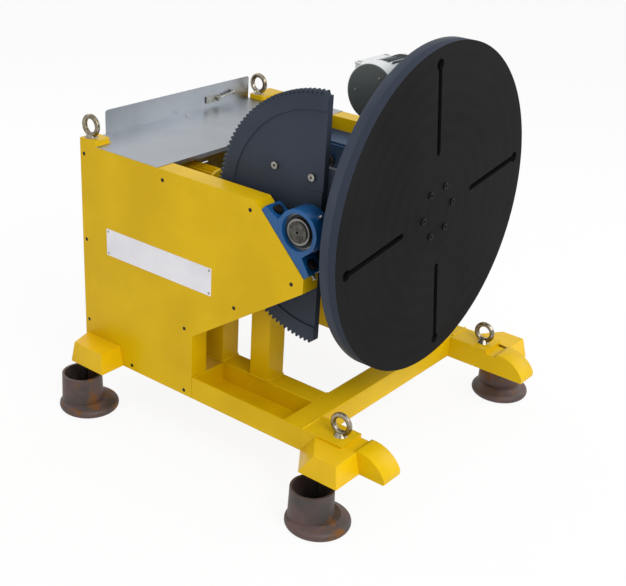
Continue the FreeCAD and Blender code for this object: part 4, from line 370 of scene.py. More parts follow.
# ------------------------ bench
@dataclass
class Bench:
    """The modelling moves that every sub-assembly uses."""

    paint: Paintshop
    count: int = 0

    def clear(self) -> None:
        """Leaves nothing selected."""
        bpy.ops.object.select_all(action="DESELECT")

    def take(self, piece: Piece) -> None:
        """Selects one piece alone and makes it active.

        Args:
            piece: the piece.
        """
        self.clear()
        piece.select_set(True)
        bpy.context.view_layer.objects.active = piece

    def settle(self, name: str) -> Piece:
        """Names the new primitive and moves its place into its mesh.

        Args:
            name: the piece's name.

        Returns:
            The piece, its object at the origin.
        """
        piece = bpy.context.active_object
        piece.name = name
        piece.data.name = name
        self.take(piece)
        bpy.ops.object.transform_apply(location=True, rotation=True, scale=True)
        return piece

    def slab(self, name: str, low: Point, high: Point) -> Piece:
        """Starts a piece from a cube between two corners.

        Args:
            name: the piece's name.
            low: its lowest corner, in mm.
            high: its highest corner, in mm.

        Returns:
            The new piece.
        """
        self.clear()
        middle = [(a + b) / 2 * MM for a, b in zip(low, high)]
        sides = [(b - a) * MM for a, b in zip(low, high)]
        bpy.ops.mesh.primitive_cube_add(size=1, location=middle, scale=sides)
        return self.settle(name)

    def drum(
            self, name: str, radius: float, start: Point | Vector, end: Point | Vector,
            sides: int = SIDES) -> Piece:
        """Starts a piece from a cylinder along any line.

        Args:
            name: the piece's name.
            radius: its radius, in mm.
            start: the middle of one end, in mm.
            end: the middle of the other end, in mm.
            sides: how many faces go round it.

        Returns:
            The new piece.
        """
        self.clear()
        low, high = Vector(start) * MM, Vector(end) * MM
        turn = (high - low).to_track_quat("Z", "Y").to_euler()
        bpy.ops.mesh.primitive_cylinder_add(
            vertices=sides, radius=radius * MM, depth=(high - low).length, location=(low + high) / 2,
            rotation=turn)
        return self.settle(name)

    def hoop(self, name: str, radius: float, wire: float, centre: Vector, axis: Vector) -> Piece:
        """Starts a piece from a torus.

        Args:
            name: the piece's name.
            radius: from its centre to the middle of the wire, in mm.
            wire: the wire's radius, in mm.
            centre: its centre, in mm.
            axis: the direction it faces.

        Returns:
            The new piece.
        """
        self.clear()
        bpy.ops.mesh.primitive_torus_add(
            major_radius=radius * MM, minor_radius=wire * MM, major_segments=SIDES, minor_segments=10,
            location=centre * MM, rotation=axis.to_track_quat("Z", "Y").to_euler())
        return self.settle(name)

    def edit(self, piece: Piece, wanted: Test) -> None:
        """Opens a piece for editing, with the faces chosen that pass a test.

        Args:
            piece: the piece to edit.
            wanted: takes a face's middle, in mm, and its normal.
        """
        self.take(piece)
        bpy.ops.object.mode_set(mode="EDIT")
        bpy.ops.mesh.select_mode(type="FACE")
        bpy.ops.mesh.select_all(action="DESELECT")
        shape = bmesh.from_edit_mesh(piece.data)
        for face in shape.faces:
            face.select_set(wanted(face.calc_center_median() / MM, face.normal))
        shape.select_flush(True)
        bmesh.update_edit_mesh(piece.data)

    def close(self) -> None:
        """Goes back out of editing."""
        bpy.ops.object.mode_set(mode="OBJECT")

    def inset(self, piece: Piece, wanted: Test, steps: list[Pair]) -> None:
        """Insets faces and moves them in or out, several times over.

        Args:
            piece: the piece to edit.
            wanted: which faces.
            steps: for each time, the inset and how far the face moves out, in mm.
        """
        self.edit(piece, wanted)
        for width, rise in steps:
            bpy.ops.mesh.inset(thickness=width * MM, depth=rise * MM, use_even_offset=True)
        self.close()

    def soften(self, piece: Piece, width: float, rounds: int = 2) -> None:
        """Rounds a piece's sharp edges for good.

        Args:
            piece: the piece.
            width: how much of each face the rounding takes, in mm.
            rounds: how many strips make the rounding.
        """
        self.take(piece)
        rounding = piece.modifiers.new("rounding", "BEVEL")
        rounding.width = width * MM
        rounding.segments = rounds
        rounding.limit_method = "ANGLE"
        rounding.angle_limit = math.radians(SHARP)
        bpy.ops.object.modifier_apply(modifier=rounding.name)

    def repeat(self, piece: Piece, moves: list[Matrix], name: str) -> Piece:
        """Copies a piece to several places and joins the copies.

        Args:
            piece: what is repeated; it isn't kept itself.
            moves: the motion that takes it to each place.
            name: the joined piece's name.

        Returns:
            One piece with a copy at each place.
        """
        copies = []
        for move in moves:
            copy = piece.copy()
            copy.data = piece.data.copy()
            copy.data.transform(move)
            bpy.context.scene.collection.objects.link(copy)
            copies.append(copy)
        bpy.data.objects.remove(piece)
        return self.join(copies, name)

    def join(self, parts: list[Piece], name: str) -> Piece:
        """Makes one piece out of several.

        Args:
            parts: the pieces, which aren't kept themselves.
            name: the joined piece's name.

        Returns:
            The joined piece.
        """
        self.clear()
        for part in parts:
            part.select_set(True)
        bpy.context.view_layer.objects.active = parts[0]
        if len(parts) > 1:
            bpy.ops.object.join()
        joined = bpy.context.active_object
        joined.name = name
        joined.data.name = name
        return joined

    def fit(self, piece: Piece, body: str, finish: Finish, angle: float = 32.0) -> None:
        """Finishes a piece and puts it on the body that carries it.

        Args:
            piece: the finished shape.
            body: the CAD body it moves with.
            finish: its surface.
            angle: edges sharper than this, in degrees, stay crisp.
        """
        self.take(piece)
        bpy.ops.object.shade_smooth_by_angle(angle=math.radians(angle))
        self.paint.coat(piece, finish)
        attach(piece, body)
        self.count += 1
        log.info("piece %s on %s: %d faces", piece.name, body, len(piece.data.polygons))


def shift(x: float, y: float, z: float) -> Matrix:
    """A move by some millimetres."""
    return Matrix.Translation((x * MM, y * MM, z * MM))


def spin(angle: float, axis: str, centre: Point | Vector) -> Matrix:
    """A turn in degrees round an axis through a point given in mm."""
    middle = Matrix.Translation(Vector(centre) * MM)
    return middle @ Matrix.Rotation(math.radians(angle), 4, axis) @ middle.inverted()


def outward(at: Vector, normal: Vector) -> bool:
    """Whether a face of the cabinet's door looks out of it, towards lower x."""
    return normal.x < -LOOKS


def box_mm(node: str) -> tuple[Vector, Vector]:
    """Lowest and highest corner of a CAD node, in mm."""
    low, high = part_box(node)
    return low / MM, high / MM


# ------------------------ CAD nodes
@dataclass
class CadDress:
    """The finish of every CAD node, and the rounding of those with sharp edges."""

    bench: Bench
    finishes: dict[Finish, tuple[str, ...]] = field(default_factory=lambda: {
        YELLOW_ENAMEL: (
            "base_rails", "front_cross_beam", "rear_cross_beam", "side_trays", "front_noses", "foot_brackets",
            "left_side_frame", "right_side_frame", "side_panels", "bearing_seats", "lifting_tabs", "top_tie",
            "drive_stand", "tilt_motor"),
        # the hoods' enamel is painted lighter than the frame's, a painted highlight
        HOOD_ENAMEL_PAINTED_LIGHTER: ("foot_hoods",),
        GREY_BLUE_ENAMEL: ("cradle", "sector_gear", "table_rim", "rotation_gearbox", "tilt_gearbox"),
        BLUE_CASTING: ("bearing_housings",),
        BLACKENED_PLATE: ("table_plate",),
        TURNED_STEEL: ("tilt_shafts", "table_hub"),
        GROUND_STEEL: (
            "bearing_inner_rings", "bearing_outer_rings", "bearing_balls", "slew_ring_inner",
            "slew_ring_gear", "tilt_pinion_shaft", "rotation_pinion", "pinion_bearing"),
        ZINC_PLATE: (
            "grease_nipples", "latch_base", "latch_lever", "cover_screws", "name_plate_rivets",
            "bracket_bolts", "sector_bolts"),
        FORGED_STEEL: ("eye_bolts",),
        BLACK_OXIDE: ("panel_screws", "housing_bolts", "lock_nuts", *(foot + "_stud" for foot in FEET)),
        OILED_BLACK: ("table_bolts",),
        RUSTY_CASTING: tuple(foot + "_pad" for foot in FEET),
        BRUSHED_STAINLESS: ("top_cover", "rear_cover"),
        SILVER_SPRAY: ("terminal_box",),
        # the rotation motor's pale barrel is a painted highlight over its grey end lid
        MOTOR_GREY_WITH_PAINTED_HIGHLIGHT: ("rotation_motor",),
        WHITE_PLATE: ("name_plate",),
        CABINET_BLUE: ("control_box",),
        BLACK_NYLON: ("cable_gland",),
        NITRILE_RUBBER: ("bearing_seals",),
    })
    rounded_mm: dict[str, float] = field(default_factory=lambda: {
        "foot_hoods": 5.0, "base_rails": 3.0, "front_cross_beam": 3.0, "drive_stand": 3.0,
        "lifting_tabs": 2.0, "bearing_housings": 4.0, "front_noses": 2.5, "terminal_box": 4.0,
        "rotation_motor": 5.0, "cradle": 1.5, "table_rim": 2.0, "rotation_gearbox": 4.0,
        "tilt_gearbox": 4.0, "control_box": 3.0, "side_trays": 2.0})
    merge_mm: float = 0.01
    sharp: float = 40.0

    def dress(self) -> None:
        """Coats every node and rounds those that need it."""
        for finish, names in self.finishes.items():
            for name in names:
                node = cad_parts[name]
                self.bench.paint.coat(node, finish)
                if name in self.rounded_mm:
                    self.round_off(node, self.rounded_mm[name])

    def round_off(self, node: Piece, width: float) -> None:
        """Adds live modifiers that join a node's loose faces and round its edges.

        Args:
            node: the CAD node.
            width: how much of each face the rounding takes, in mm.
        """
        weld = node.modifiers.new("weld", "WELD")
        weld.merge_threshold = self.merge_mm * MM
        rounding = node.modifiers.new("rounding", "BEVEL")
        rounding.width = width * MM
        rounding.segments = 2
        rounding.limit_method = "ANGLE"
        rounding.angle_limit = math.radians(self.sharp)
        rounding.use_clamp_overlap = True


# ------------------------ welds
@dataclass
class WeldSeams:
    """Fillet welds where plates and tubes meet: hand-laid beads, painted over."""

    bench: Bench
    bead_mm: float = 5.0
    bead_sides: int = 10
    ripple_mm: float = 7.0
    swell_mm: float = 2.4
    cuts: tuple[int, int] = (3, 90)
    post_mm: float = 90.0
    nose_run_mm: float = 100.0
    nose_above_mm: float = 30.0
    rail_side_mm: float = 290.0
    wall_side_mm: float = 555.0
    tab_side_mm: Pair = (-475.0, 412.0)
    cradle_inset_mm: float = 20.0
    cradle_y_mm: float = -245.0
    cradle_top_mm: float = 1180.0
    crisp: float = 60.0

    def bead(self, name: str, start: Point, end: Point) -> Piece:
        """Lays one bead along a straight joint.

        Args:
            name: the bead's name.
            start: where it starts, in mm.
            end: where it ends, in mm.

        Returns:
            The bead, with the ripples of the welder's steps.
        """
        bead = self.bench.drum(name, self.bead_mm, start, end, self.bead_sides)
        run = Vector(end) - Vector(start)
        self.bench.take(bead)
        bpy.ops.object.mode_set(mode="EDIT")
        bpy.ops.mesh.select_mode(type="EDGE")
        bpy.ops.mesh.select_all(action="DESELECT")
        shape = bmesh.from_edit_mesh(bead.data)
        for edge in shape.edges:
            along = (edge.verts[1].co - edge.verts[0].co).normalized()
            edge.select_set(abs(along.dot(run.normalized())) > LOOKS)
        bmesh.update_edit_mesh(bead.data)
        fewest, most = self.cuts
        cuts = max(fewest, min(most, int(run.length / self.ripple_mm)))
        bpy.ops.mesh.subdivide(number_cuts=cuts)
        self.bench.close()
        ripples = bpy.data.textures.new(name + "_ripples", "CLOUDS")
        ripples.noise_scale = self.ripple_mm * MM
        swell = bead.modifiers.new("ripples", "DISPLACE")
        swell.texture = ripples
        swell.texture_coords = "LOCAL"
        swell.strength = self.swell_mm * MM
        bpy.ops.object.modifier_apply(modifier=swell.name)
        return bead

    def run(self, name: str, body: str, finish: Finish, lines: list[tuple[Point, Point]]) -> None:
        """Lays several beads as one piece.

        Args:
            name: the piece's name.
            body: the CAD body it rides on.
            finish: the paint over it.
            lines: start and end of each bead, in mm.
        """
        beads = [self.bead(f"{name}_{index}", start, end) for index, (start, end) in enumerate(lines)]
        self.bench.fit(self.bench.join(beads, name), body, finish, self.crisp)

    def build(self) -> None:
        """Lays the beads of the drive stand, the base, the tabs and the cradle."""
        self.run("drive_stand_weld", "frame", YELLOW_ENAMEL, self.post_feet())
        self.run("base_weld", "frame", YELLOW_ENAMEL, self.base_joints())
        tab_low, _ = box_mm("lifting_tabs")
        tabs = []
        for inner, outer in zip(self.tab_side_mm, (-self.wall_side_mm, self.wall_side_mm)):
            tabs.append(((inner, tab_low.y, tab_low.z), (outer, tab_low.y, tab_low.z)))
        self.run("tab_weld", "frame", YELLOW_ENAMEL, tabs)
        low, high = box_mm("cradle")
        seams = []
        for side in (-1, 1):
            x = side * (high.x - self.cradle_inset_mm)
            foot = (x, self.cradle_y_mm, low.z + self.cradle_inset_mm)
            seams.append((foot, (x, self.cradle_y_mm, self.cradle_top_mm)))
        self.run("cradle_weld", "tilting_cradle", GREY_BLUE_ENAMEL, seams)

    def post_feet(self) -> list[tuple[Point, Point]]:
        """Finds the lines round the feet of the drive stand's two posts.

        Returns:
            Start and end of each line, in mm.
        """
        low, high = box_mm("drive_stand")
        top = box_mm("base_rails")[1].z
        x_range = (low.x, low.x + self.post_mm)
        lines = []
        for front in (low.y, high.y - self.post_mm):
            y_range = (front, front + self.post_mm)
            lines += [((x, y_range[0], top), (x, y_range[1], top)) for x in x_range]
            lines += [((x_range[0], y, top), (x_range[1], y, top)) for y in y_range]
        return lines

    def base_joints(self) -> list[tuple[Point, Point]]:
        """Finds the lines where the noses and the rails meet the front beam.

        Returns:
            Start and end of each line, in mm.
        """
        beam_low, beam_high = box_mm("front_cross_beam")
        nose_low, nose_high = box_mm("front_noses")
        lines = []
        for side in (-1, 1):
            inner = side * (nose_high.x - self.nose_run_mm)
            outer = side * nose_high.x
            rail = side * self.rail_side_mm
            corner = (inner, nose_high.y, nose_high.z)
            lines.append(((inner, nose_high.y, nose_low.z + self.nose_above_mm), corner))
            lines.append((corner, (outer, nose_high.y, nose_high.z)))
            lines.append(((rail, beam_high.y, beam_low.z), (rail, beam_high.y, beam_high.z)))
        return lines


# ------------------------ pillow blocks
@dataclass
class BlockTrim:
    """Jack screws at the lower end of each bearing seat."""

    bench: Bench
    screw_mm: float = 6.0
    screw_ends_mm: Pair = (-24.0, 2.0)
    nut_mm: float = 9.5
    head_ends_mm: Pair = (-26.0, -18.0)
    nut_ends_mm: Pair = (-14.0, -7.0)
    side_mm: float = 515.0
    inset_mm: float = 6.0
    above_mm: float = 9.0
    seat_at_mm: Pair = (-363.8, 844.4)  # y and z of a point on the seat's face

    def build(self) -> None:
        """Builds the screw and its nut on both sides."""
        seat_low, _ = box_mm("bearing_seats")
        slope = Vector((0.0, 1.0, 1.0)).normalized()
        rise = Vector((0.0, -1.0, 1.0)).normalized()
        y = seat_low.y + self.inset_mm
        z = self.seat_at_mm[1] + (y - self.seat_at_mm[0])
        for side, name in ((-1, "left"), (1, "right")):
            base = Vector((side * self.side_mm, y, z)) + rise * self.above_mm
            near, far = (base + slope * end for end in self.screw_ends_mm)
            pieces = [self.bench.drum(f"{name}_jack_screw", self.screw_mm, near, far, 24)]
            for start, end in (self.head_ends_mm, self.nut_ends_mm):
                nut = self.bench.drum("nut", self.nut_mm, base + slope * start, base + slope * end, 6)
                self.bench.soften(nut, 1.0)
                pieces.append(nut)
            self.bench.fit(self.bench.join(pieces, f"{name}_jack_screw"), "frame", ZINC_PLATE)


# ------------------------ motors
@dataclass
class MotorTrim:
    """Fins, fan grille or lid screws, and flange bolts of one motor; shares are of its radius."""

    bench: Bench
    name: str
    body: str
    axis: Vector
    start: Vector
    length: float
    radius: float
    finish: Finish
    finned: float
    fan: bool = True
    fins: int = 28
    fin_shares: Pair = (0.84, 0.965)
    fin_ends_mm: Pair = (18.0, -4.0)
    fin_half_mm: float = 1.6
    fin_taper: float = 0.55
    ring_shares: tuple[float, ...] = (0.2, 0.33, 0.46, 0.59, 0.72)
    wire_mm: float = 1.5
    spokes: int = 6
    spoke_from_mm: float = 8.0
    spoke_share: float = 0.76
    hub_share: float = 0.1
    hub_in_mm: float = 2.0
    lid_screw_share: float = 0.62
    lid_screw_mm: float = 3.6
    lid_screw_ends_mm: Pair = (-1.0, 2.4)
    bolt_share: float = 0.93
    bolt_mm: float = 5.5
    bolt_ends_mm: Pair = (11.0, 17.0)

    def build(self) -> None:
        """Builds the trim round the motor's own axis."""
        self.cool()
        if self.fan:
            self.grille()
        else:
            self.lid_screws()
        self.bolts()

    def ring(self, piece: Piece, count: int, first: float, name: str) -> Piece:
        """Repeats a piece evenly round the motor's axis.

        Args:
            piece: what is repeated.
            count: how often.
            first: the first copy's turn, in degrees.
            name: the joined piece's name.

        Returns:
            One piece with all the copies.
        """
        letter = "X" if abs(self.axis.x) > 0.5 else "Y"
        turns = [spin(first + 360 * index / count, letter, self.start) for index in range(count)]
        return self.bench.repeat(piece, turns, name)

    def cool(self) -> None:
        """Adds the fins along the barrel."""
        inner, outer = (self.radius * share for share in self.fin_shares)
        begins, ends = self.fin_ends_mm
        near = self.start + self.axis * begins
        far = self.start + self.axis * (self.length * self.finned + ends)
        half = self.axis.cross(UP) * self.fin_half_mm
        corners = [near + UP * inner - half, far + UP * outer + half]
        low = tuple(min(pair) for pair in zip(*corners))
        high = tuple(max(pair) for pair in zip(*corners))
        fin = self.bench.slab("fin", low, high)
        self.bench.edit(fin, lambda at, normal: normal.dot(UP) > LOOKS)
        taper = tuple(1.0 if abs(part) > 0.5 else self.fin_taper for part in self.axis + UP)
        bpy.ops.transform.resize(value=taper)
        self.bench.close()
        self.bench.soften(fin, 0.8)
        fins = self.ring(fin, self.fins, 0.0, f"{self.name}_fins")
        self.bench.fit(fins, self.body, self.finish)

    def tail(self) -> Vector:
        """Finds the middle of the motor's far end.

        Returns:
            The place, in mm.
        """
        low, high = box_mm(self.name)
        reach = high if sum(self.axis) > 0 else low
        return self.start + self.axis * (reach - self.start).dot(self.axis)

    def grille(self) -> None:
        """Adds the fan grille's rings, spokes and hub on the cowl's end."""
        end = self.tail()
        reaches = (self.radius * share for share in self.ring_shares)
        rings = [self.bench.hoop("ring", reach, self.wire_mm, end, self.axis) for reach in reaches]
        near = end + UP * self.spoke_from_mm
        far = end + UP * (self.radius * self.spoke_share)
        spokes = self.ring(self.bench.drum("spoke", self.wire_mm, near, far, 10), self.spokes, 0.0, "spokes")
        near, far = end - self.axis * self.hub_in_mm, end + self.axis * self.wire_mm
        hub = self.bench.drum("hub", self.radius * self.hub_share, near, far, 24)
        self.bench.soften(hub, 1.0)
        grille = self.bench.join(rings + [spokes, hub], f"{self.name}_grille")
        self.bench.fit(grille, self.body, ZINC_PLATE)

    def lid_screws(self) -> None:
        """Adds the three small screws of a plain end lid."""
        place = self.tail() + UP * self.radius * self.lid_screw_share
        near, far = (place + self.axis * end for end in self.lid_screw_ends_mm)
        screw = self.bench.drum("screw", self.lid_screw_mm, near, far, 20)
        self.bench.inset(screw, lambda at, normal: normal.dot(self.axis) > LOOKS, [(0.8, 0.5), (1.0, -1.6)])
        screws = self.ring(screw, 3, 30.0, f"{self.name}_lid_screws")
        self.bench.fit(screws, self.body, ZINC_PLATE)

    def bolts(self) -> None:
        """Adds the four hexagon bolts round the flange."""
        place = self.start + UP * self.radius * self.bolt_share
        near, far = (place + self.axis * end for end in self.bolt_ends_mm)
        bolt = self.bench.drum("bolt", self.bolt_mm, near, far, 6)
        self.bench.soften(bolt, 0.7)
        bolts = self.ring(bolt, 4, 45.0, f"{self.name}_flange_bolts")
        self.bench.fit(bolts, self.body, ZINC_PLATE)


# ------------------------ table
@dataclass
class SlotShadeStrips:
    """Black sheet strips riveted behind the table's four slots: painted shade, dark sheets that keep the slots
    black where light would show through.
    """

    bench: Bench
    turn: float = 8.87
    near_mm: float = 290.0
    far_mm: float = 566.0
    half_width_mm: float = 26.0
    sheet_mm: float = 2.0
    rivet_mm: float = 3.0
    rivet_head_mm: float = 1.2
    rivet_inset_mm: float = 3.0
    rivet_from_end_mm: float = 12.0

    def build(self) -> None:
        """Builds one strip with its rivets and copies it to each slot."""
        low, high = box_mm("table_plate")
        back, middle = high.y, (low.z + high.z) / 2
        strip = self.bench.slab(
            "strip", (self.near_mm, back, middle - self.half_width_mm),
            (self.far_mm, back + self.sheet_mm, middle + self.half_width_mm))
        self.bench.soften(strip, 0.6)
        head = (0, back + self.sheet_mm + self.rivet_head_mm, 0)
        rivet = self.bench.drum("rivet", self.rivet_mm, (0, back, 0), head, 16)
        self.bench.inset(rivet, lambda at, normal: normal.y > LOOKS, [(0.9, 0.4)])
        ends = (self.near_mm + self.rivet_from_end_mm, self.far_mm - self.rivet_from_end_mm)
        places = []
        for along in (ends[0], sum(ends) / 2, ends[1]):
            for side in (-1, 1):
                across = side * (self.half_width_mm - self.rivet_inset_mm)
                places.append(shift(along, 0, middle + across))
        shade_strip = self.bench.join([strip, self.bench.repeat(rivet, places, "rivets")], "shade_strip")
        turns = [spin(-self.turn - 90 * quarter, "Y", (0, 0, middle)) for quarter in range(4)]
        # painted shade: the dark strips stand in for the shade inside the slots
        self.bench.fit(self.bench.repeat(shade_strip, turns, "slot_shade_strips"), "table", OILED_BLACK)


# ------------------------ control cabinet
@dataclass
class CabinetTrim:
    """Door, hinges, locks, isolator and lamps of the control cabinet."""

    bench: Bench
    gap_mm: float = 8.0
    door_t_mm: float = 10.0
    rim_mm: float = 14.0
    sunk_mm: float = 2.0
    hinge_mm: float = 5.0
    hinge_length_mm: float = 45.0
    hinge_end_mm: float = 40.0
    hinge_in_mm: float = 4.0
    lock_mm: float = 11.0
    lock_out_mm: float = 6.0
    lock_end_mm: float = 60.0
    lock_in_mm: float = 28.0
    isolator_mm: float = 26.0
    isolator_out_mm: float = 10.0
    isolator_down_mm: float = 80.0
    grip_half_mm: Pair = (6.0, 22.0)
    grip_out_mm: Pair = (24.0, 8.0)
    lamp_mm: float = 9.0
    lamp_down_mm: float = 150.0
    lamp_pitch_mm: float = 40.0
    lamps: int = 3

    def build(self) -> None:
        """Builds the door and what is on it."""
        self.door()
        self.switchgear()

    def door(self) -> None:
        """Builds the door with its hinges and locks."""
        low, high = box_mm("control_box")
        face, tall = low.x, high.z - low.z
        front = face - self.door_t_mm
        door = self.bench.slab(
            "cabinet_door", (front, low.y + self.gap_mm, low.z + self.gap_mm),
            (face, high.y - self.gap_mm, high.z - self.gap_mm))
        self.bench.inset(door, outward, [(self.rim_mm, 0.0), (3.0, -self.sunk_mm)])
        self.bench.soften(door, 2.5, 3)
        self.bench.fit(door, "frame", CABINET_BLUE)
        foot = Vector((face - self.hinge_mm, low.y + self.hinge_in_mm, low.z + self.hinge_end_mm))
        head = foot + Vector((0, 0, self.hinge_length_mm))
        hinge = self.bench.drum("hinge", self.hinge_mm, foot, head, 20)
        self.bench.soften(hinge, 1.0)
        span = tall - 2 * self.hinge_end_mm - self.hinge_length_mm
        hinges = self.bench.repeat(hinge, [shift(0, 0, 0), shift(0, 0, span)], "cabinet_hinges")
        self.bench.fit(hinges, "frame", BLACK_NYLON)
        place = Vector((front, high.y - self.lock_in_mm, low.z + self.lock_end_mm))
        lock = self.bench.drum("lock", self.lock_mm, place, place - Vector((self.lock_out_mm, 0, 0)), 28)
        self.bench.inset(lock, outward, [(3.0, 0.0), (1.0, -3.0)])
        moves = [shift(0, 0, 0), shift(0, 0, tall - 2 * self.lock_end_mm)]
        self.bench.fit(self.bench.repeat(lock, moves, "cabinet_locks"), "frame", ZINC_PLATE)

    def switchgear(self) -> None:
        """Builds the isolator and the lamps, on the door's sunk face."""
        low, high = box_mm("control_box")
        front, middle, top = low.x - self.door_t_mm + self.sunk_mm, (low.y + high.y) / 2, high.z
        place = Vector((front, middle, top - self.isolator_down_mm))
        ring = self.bench.drum(
            "isolator", self.isolator_mm, place, place - Vector((self.isolator_out_mm, 0, 0)), 40)
        self.bench.inset(ring, outward, [(5.0, 2.0), (3.0, -1.0)])
        self.bench.fit(ring, "frame", BLACK_NYLON)
        far, near = self.grip_out_mm
        wide, tall = self.grip_half_mm
        corners = (
            (front - far, middle - wide, place.z - tall), (front - near, middle + wide, place.z + tall))
        grip = self.bench.slab("isolator_grip", *corners)
        self.bench.soften(grip, 3.0, 3)
        self.bench.fit(grip, "frame", RED_ACETAL)
        first = Vector((front, middle - self.lamp_pitch_mm, top - self.lamp_down_mm))
        lamp = self.bench.drum("lamp", self.lamp_mm, first, first - Vector((self.lamp_mm, 0, 0)), 32)
        self.bench.inset(lamp, outward, [(1.5, 2.0), (3.0, 1.5)])
        moves = [shift(0, self.lamp_pitch_mm * index, 0) for index in range(self.lamps)]
        self.bench.fit(self.bench.repeat(lamp, moves, "cabinet_lamps"), "frame", GREEN_LENS)


# ------------------------ terminal box
@dataclass
class TerminalTrim:
    """Lid of the rotation motor's terminal box, and its screws."""

    bench: Bench
    over_mm: float = 2.0
    raised_mm: float = 3.0
    lid_mm: float = 9.0
    screw_mm: float = 4.0
    screw_in_mm: float = 8.0
    screw_ends_mm: Pair = (-1.0, 1.6)

    def build(self) -> None:
        """Builds the lid and its screws."""
        low, high = box_mm("terminal_box")
        top = high.z + self.raised_mm
        lid = self.bench.slab(
            "terminal_lid", (low.x - self.over_mm, low.y - self.over_mm, top - self.lid_mm),
            (high.x + self.over_mm, high.y + self.over_mm, top))
        self.bench.soften(lid, 2.5, 3)
        self.bench.fit(lid, "tilting_cradle", SILVER_SPRAY)
        x, y = low.x + self.screw_in_mm, low.y + self.screw_in_mm
        foot, head = ((x, y, top + end) for end in self.screw_ends_mm)
        screw = self.bench.drum("screw", self.screw_mm, foot, head, 20)
        self.bench.inset(screw, lambda at, normal: normal.z > LOOKS, [(1.4, -0.6)])
        wide, deep = (reach - 2 * self.screw_in_mm for reach in (high.x - low.x, high.y - low.y))
        moves = [shift(along, across, 0) for along in (0, wide) for across in (0, deep)]
        screws = self.bench.repeat(screw, moves, "terminal_lid_screws")
        self.bench.fit(screws, "tilting_cradle", ZINC_PLATE)


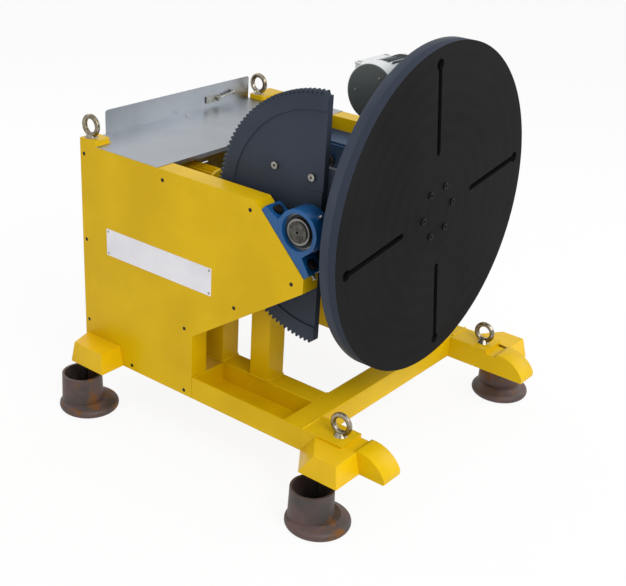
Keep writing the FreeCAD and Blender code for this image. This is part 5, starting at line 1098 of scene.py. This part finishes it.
# ------------------------ studio
@dataclass
class Studio:
    """Pale floor, plain soft lamps and the camera."""

    azimuth: float = -52.8843
    elevation: float = 25.4988
    roll: float = 3.2974
    distance_mm: float = 4191.8
    aim_mm: Point = (-233.05, -118.0, 546.58)
    focal_px: float = 1115.82
    middle_px: Pair = (301.11, 308.33)
    frame_px: tuple[int, int] = (626, 586)
    floor_m: float = 60.0
    floor_glow: float = 0.9
    sky: float = 0.62
    lamps: tuple[tuple[str, Point, Point, float, float], ...] = (
        ("key", (-1700.0, -4700.0, 4400.0), (0.0, 0.0, 600.0), 3.2, 205.0),
        ("left", (-4600.0, 600.0, 2600.0), (0.0, 0.0, 600.0), 3.0, 14.0),
        ("right", (3800.0, -2600.0, 2600.0), (0.0, 0.0, 700.0), 3.0, 62.0),
        ("back", (600.0, 4200.0, 3600.0), (0.0, 0.0, 700.0), 3.0, 55.0),
    )

    def build(self) -> None:
        """Sets up everything that isn't the machine."""
        scene = bpy.context.scene
        scene.view_settings.view_transform = "Standard"
        self.sky_and_floor(scene)
        for name, place, aim, size, power in self.lamps:
            self.lamp(name, Vector(place) * MM, Vector(aim) * MM, size, power)
        self.camera(scene)

    def seen(self, tree: Tree) -> Any:
        """One for rays that come from the eye, also by way of gloss or glass, else nought.

        Args:
            tree: the node tree to add to.

        Returns:
            The output socket.
        """
        kinds = ("Camera", "Glossy", "Transmission")
        rays = [add_node(tree, "LightPath", {}, {}, f"Is {kind} Ray") for kind in kinds]
        either = add_node(tree, "Math", {"operation": "MAXIMUM"}, {0: rays[0], 1: rays[1]})
        return add_node(tree, "Math", {"operation": "MAXIMUM"}, {0: either, 1: rays[2]})

    def sky_and_floor(self, scene: bpy.types.Scene) -> None:
        """Adds white surroundings and a white floor that keeps a faint shadow.

        Args:
            scene: the scene.
        """
        world = bpy.data.worlds.new("studio")
        scene.world = world
        world.use_nodes = True
        tree = world.node_tree
        tree.nodes.clear()
        strength = add_node(tree, "MapRange", {"To Min": self.sky, "To Max": 1.0}, {"Value": self.seen(tree)})
        light = add_node(tree, "Background", {"Color": linear("#ffffff")}, {"Strength": strength})
        add_node(tree, "OutputWorld", {}, {"Surface": light})
        bpy.ops.object.select_all(action="DESELECT")
        bpy.ops.mesh.primitive_plane_add(size=self.floor_m, location=(0, 0, 0))
        floor = bpy.context.active_object
        floor.name = "studio_floor"
        made = bpy.data.materials.new("white_painted_floor")
        made.use_nodes = True
        tree = made.node_tree
        tree.nodes.clear()
        matt = add_node(tree, "BsdfDiffuse", {"Color": linear("#f2f2f2")}, {})
        white = add_node(tree, "Emission", {"Strength": 1.0}, {})
        share = add_node(tree, "Math", {"operation": "MULTIPLY", 1: self.floor_glow}, {0: self.seen(tree)})
        both = add_node(tree, "MixShader", {}, {0: share, 1: matt, 2: white})
        add_node(tree, "OutputMaterial", {}, {"Surface": both})
        floor.data.materials.append(made)

    def lamp(self, name: str, place: Vector, aim: Vector, size: float, power: float) -> None:
        """Adds one square soft lamp.

        Args:
            name: the lamp's name.
            place: where it stands, in metres.
            aim: what it points at, in metres.
            size: its side, in metres.
            power: its power in watts.
        """
        light = bpy.data.lights.new(name, "AREA")
        light.size = size
        light.energy = power
        lamp = bpy.data.objects.new(name, light)
        lamp.location = place
        lamp.rotation_euler = (place - aim).to_track_quat("Z", "Y").to_euler()
        bpy.context.scene.collection.objects.link(lamp)

    def camera(self, scene: bpy.types.Scene) -> None:
        """Adds the camera at the viewing angle.

        Args:
            scene: the scene.
        """
        turn, rise, lean = (math.radians(v) for v in (self.azimuth, self.elevation, self.roll))
        back = Vector((math.sin(turn) * math.cos(rise), -math.cos(turn) * math.cos(rise), math.sin(rise)))
        right = Vector((math.cos(turn), math.sin(turn), 0.0))
        up = back.cross(right)
        leant_right = right * math.cos(lean) + up * math.sin(lean)
        leant_up = up * math.cos(lean) - right * math.sin(lean)
        lens = bpy.data.cameras.new("camera")
        lens.sensor_width = 36.0
        lens.lens = self.focal_px * lens.sensor_width / self.frame_px[0]
        lens.shift_x = (self.frame_px[0] / 2 - self.middle_px[0]) / self.frame_px[0]
        lens.shift_y = (self.middle_px[1] - self.frame_px[1] / 2) / self.frame_px[0]
        lens.clip_end = 100.0
        camera = bpy.data.objects.new("camera", lens)
        axes = Matrix((leant_right, leant_up, back)).transposed().to_4x4()
        place = Vector(self.aim_mm) * MM + back * self.distance_mm * MM
        camera.matrix_world = Matrix.Translation(place) @ axes
        scene.collection.objects.link(camera)
        scene.camera = camera


def main() -> None:
    """Dresses the frame, builds the trim and sets up the studio."""
    logging.basicConfig(level=logging.INFO, format="%(message)s")
    bench = Bench(Paintshop())
    bench.clear()
    CadDress(bench).dress()
    WeldSeams(bench).build()
    BlockTrim(bench).build()
    tilt_low, tilt_high = box_mm("tilt_motor")
    tilt_r = (tilt_high.x - tilt_low.x) / 2
    MotorTrim(
        bench, "tilt_motor", "frame", Vector((0.0, 1.0, 0.0)),
        Vector(((tilt_low.x + tilt_high.x) / 2, tilt_low.y, (tilt_low.z + tilt_high.z) / 2)),
        tilt_high.y - tilt_low.y, tilt_r, YELLOW_ENAMEL, finned=0.82).build()
    turn_low, turn_high = box_mm("rotation_motor")
    turn_r = (turn_high.z - turn_low.z) / 2
    MotorTrim(
        bench, "rotation_motor", "tilting_cradle", Vector((-1.0, 0.0, 0.0)),
        Vector((turn_high.x, (turn_low.y + turn_high.y) / 2, (turn_low.z + turn_high.z) / 2)),
        turn_high.x - turn_low.x, turn_r, MOTOR_GREY, finned=0.6, fan=False).build()
    SlotShadeStrips(bench).build()
    CabinetTrim(bench).build()
    TerminalTrim(bench).build()
    Studio().build()
    log.info("%d new pieces", bench.count)


if __name__ == "__main__":
    main()
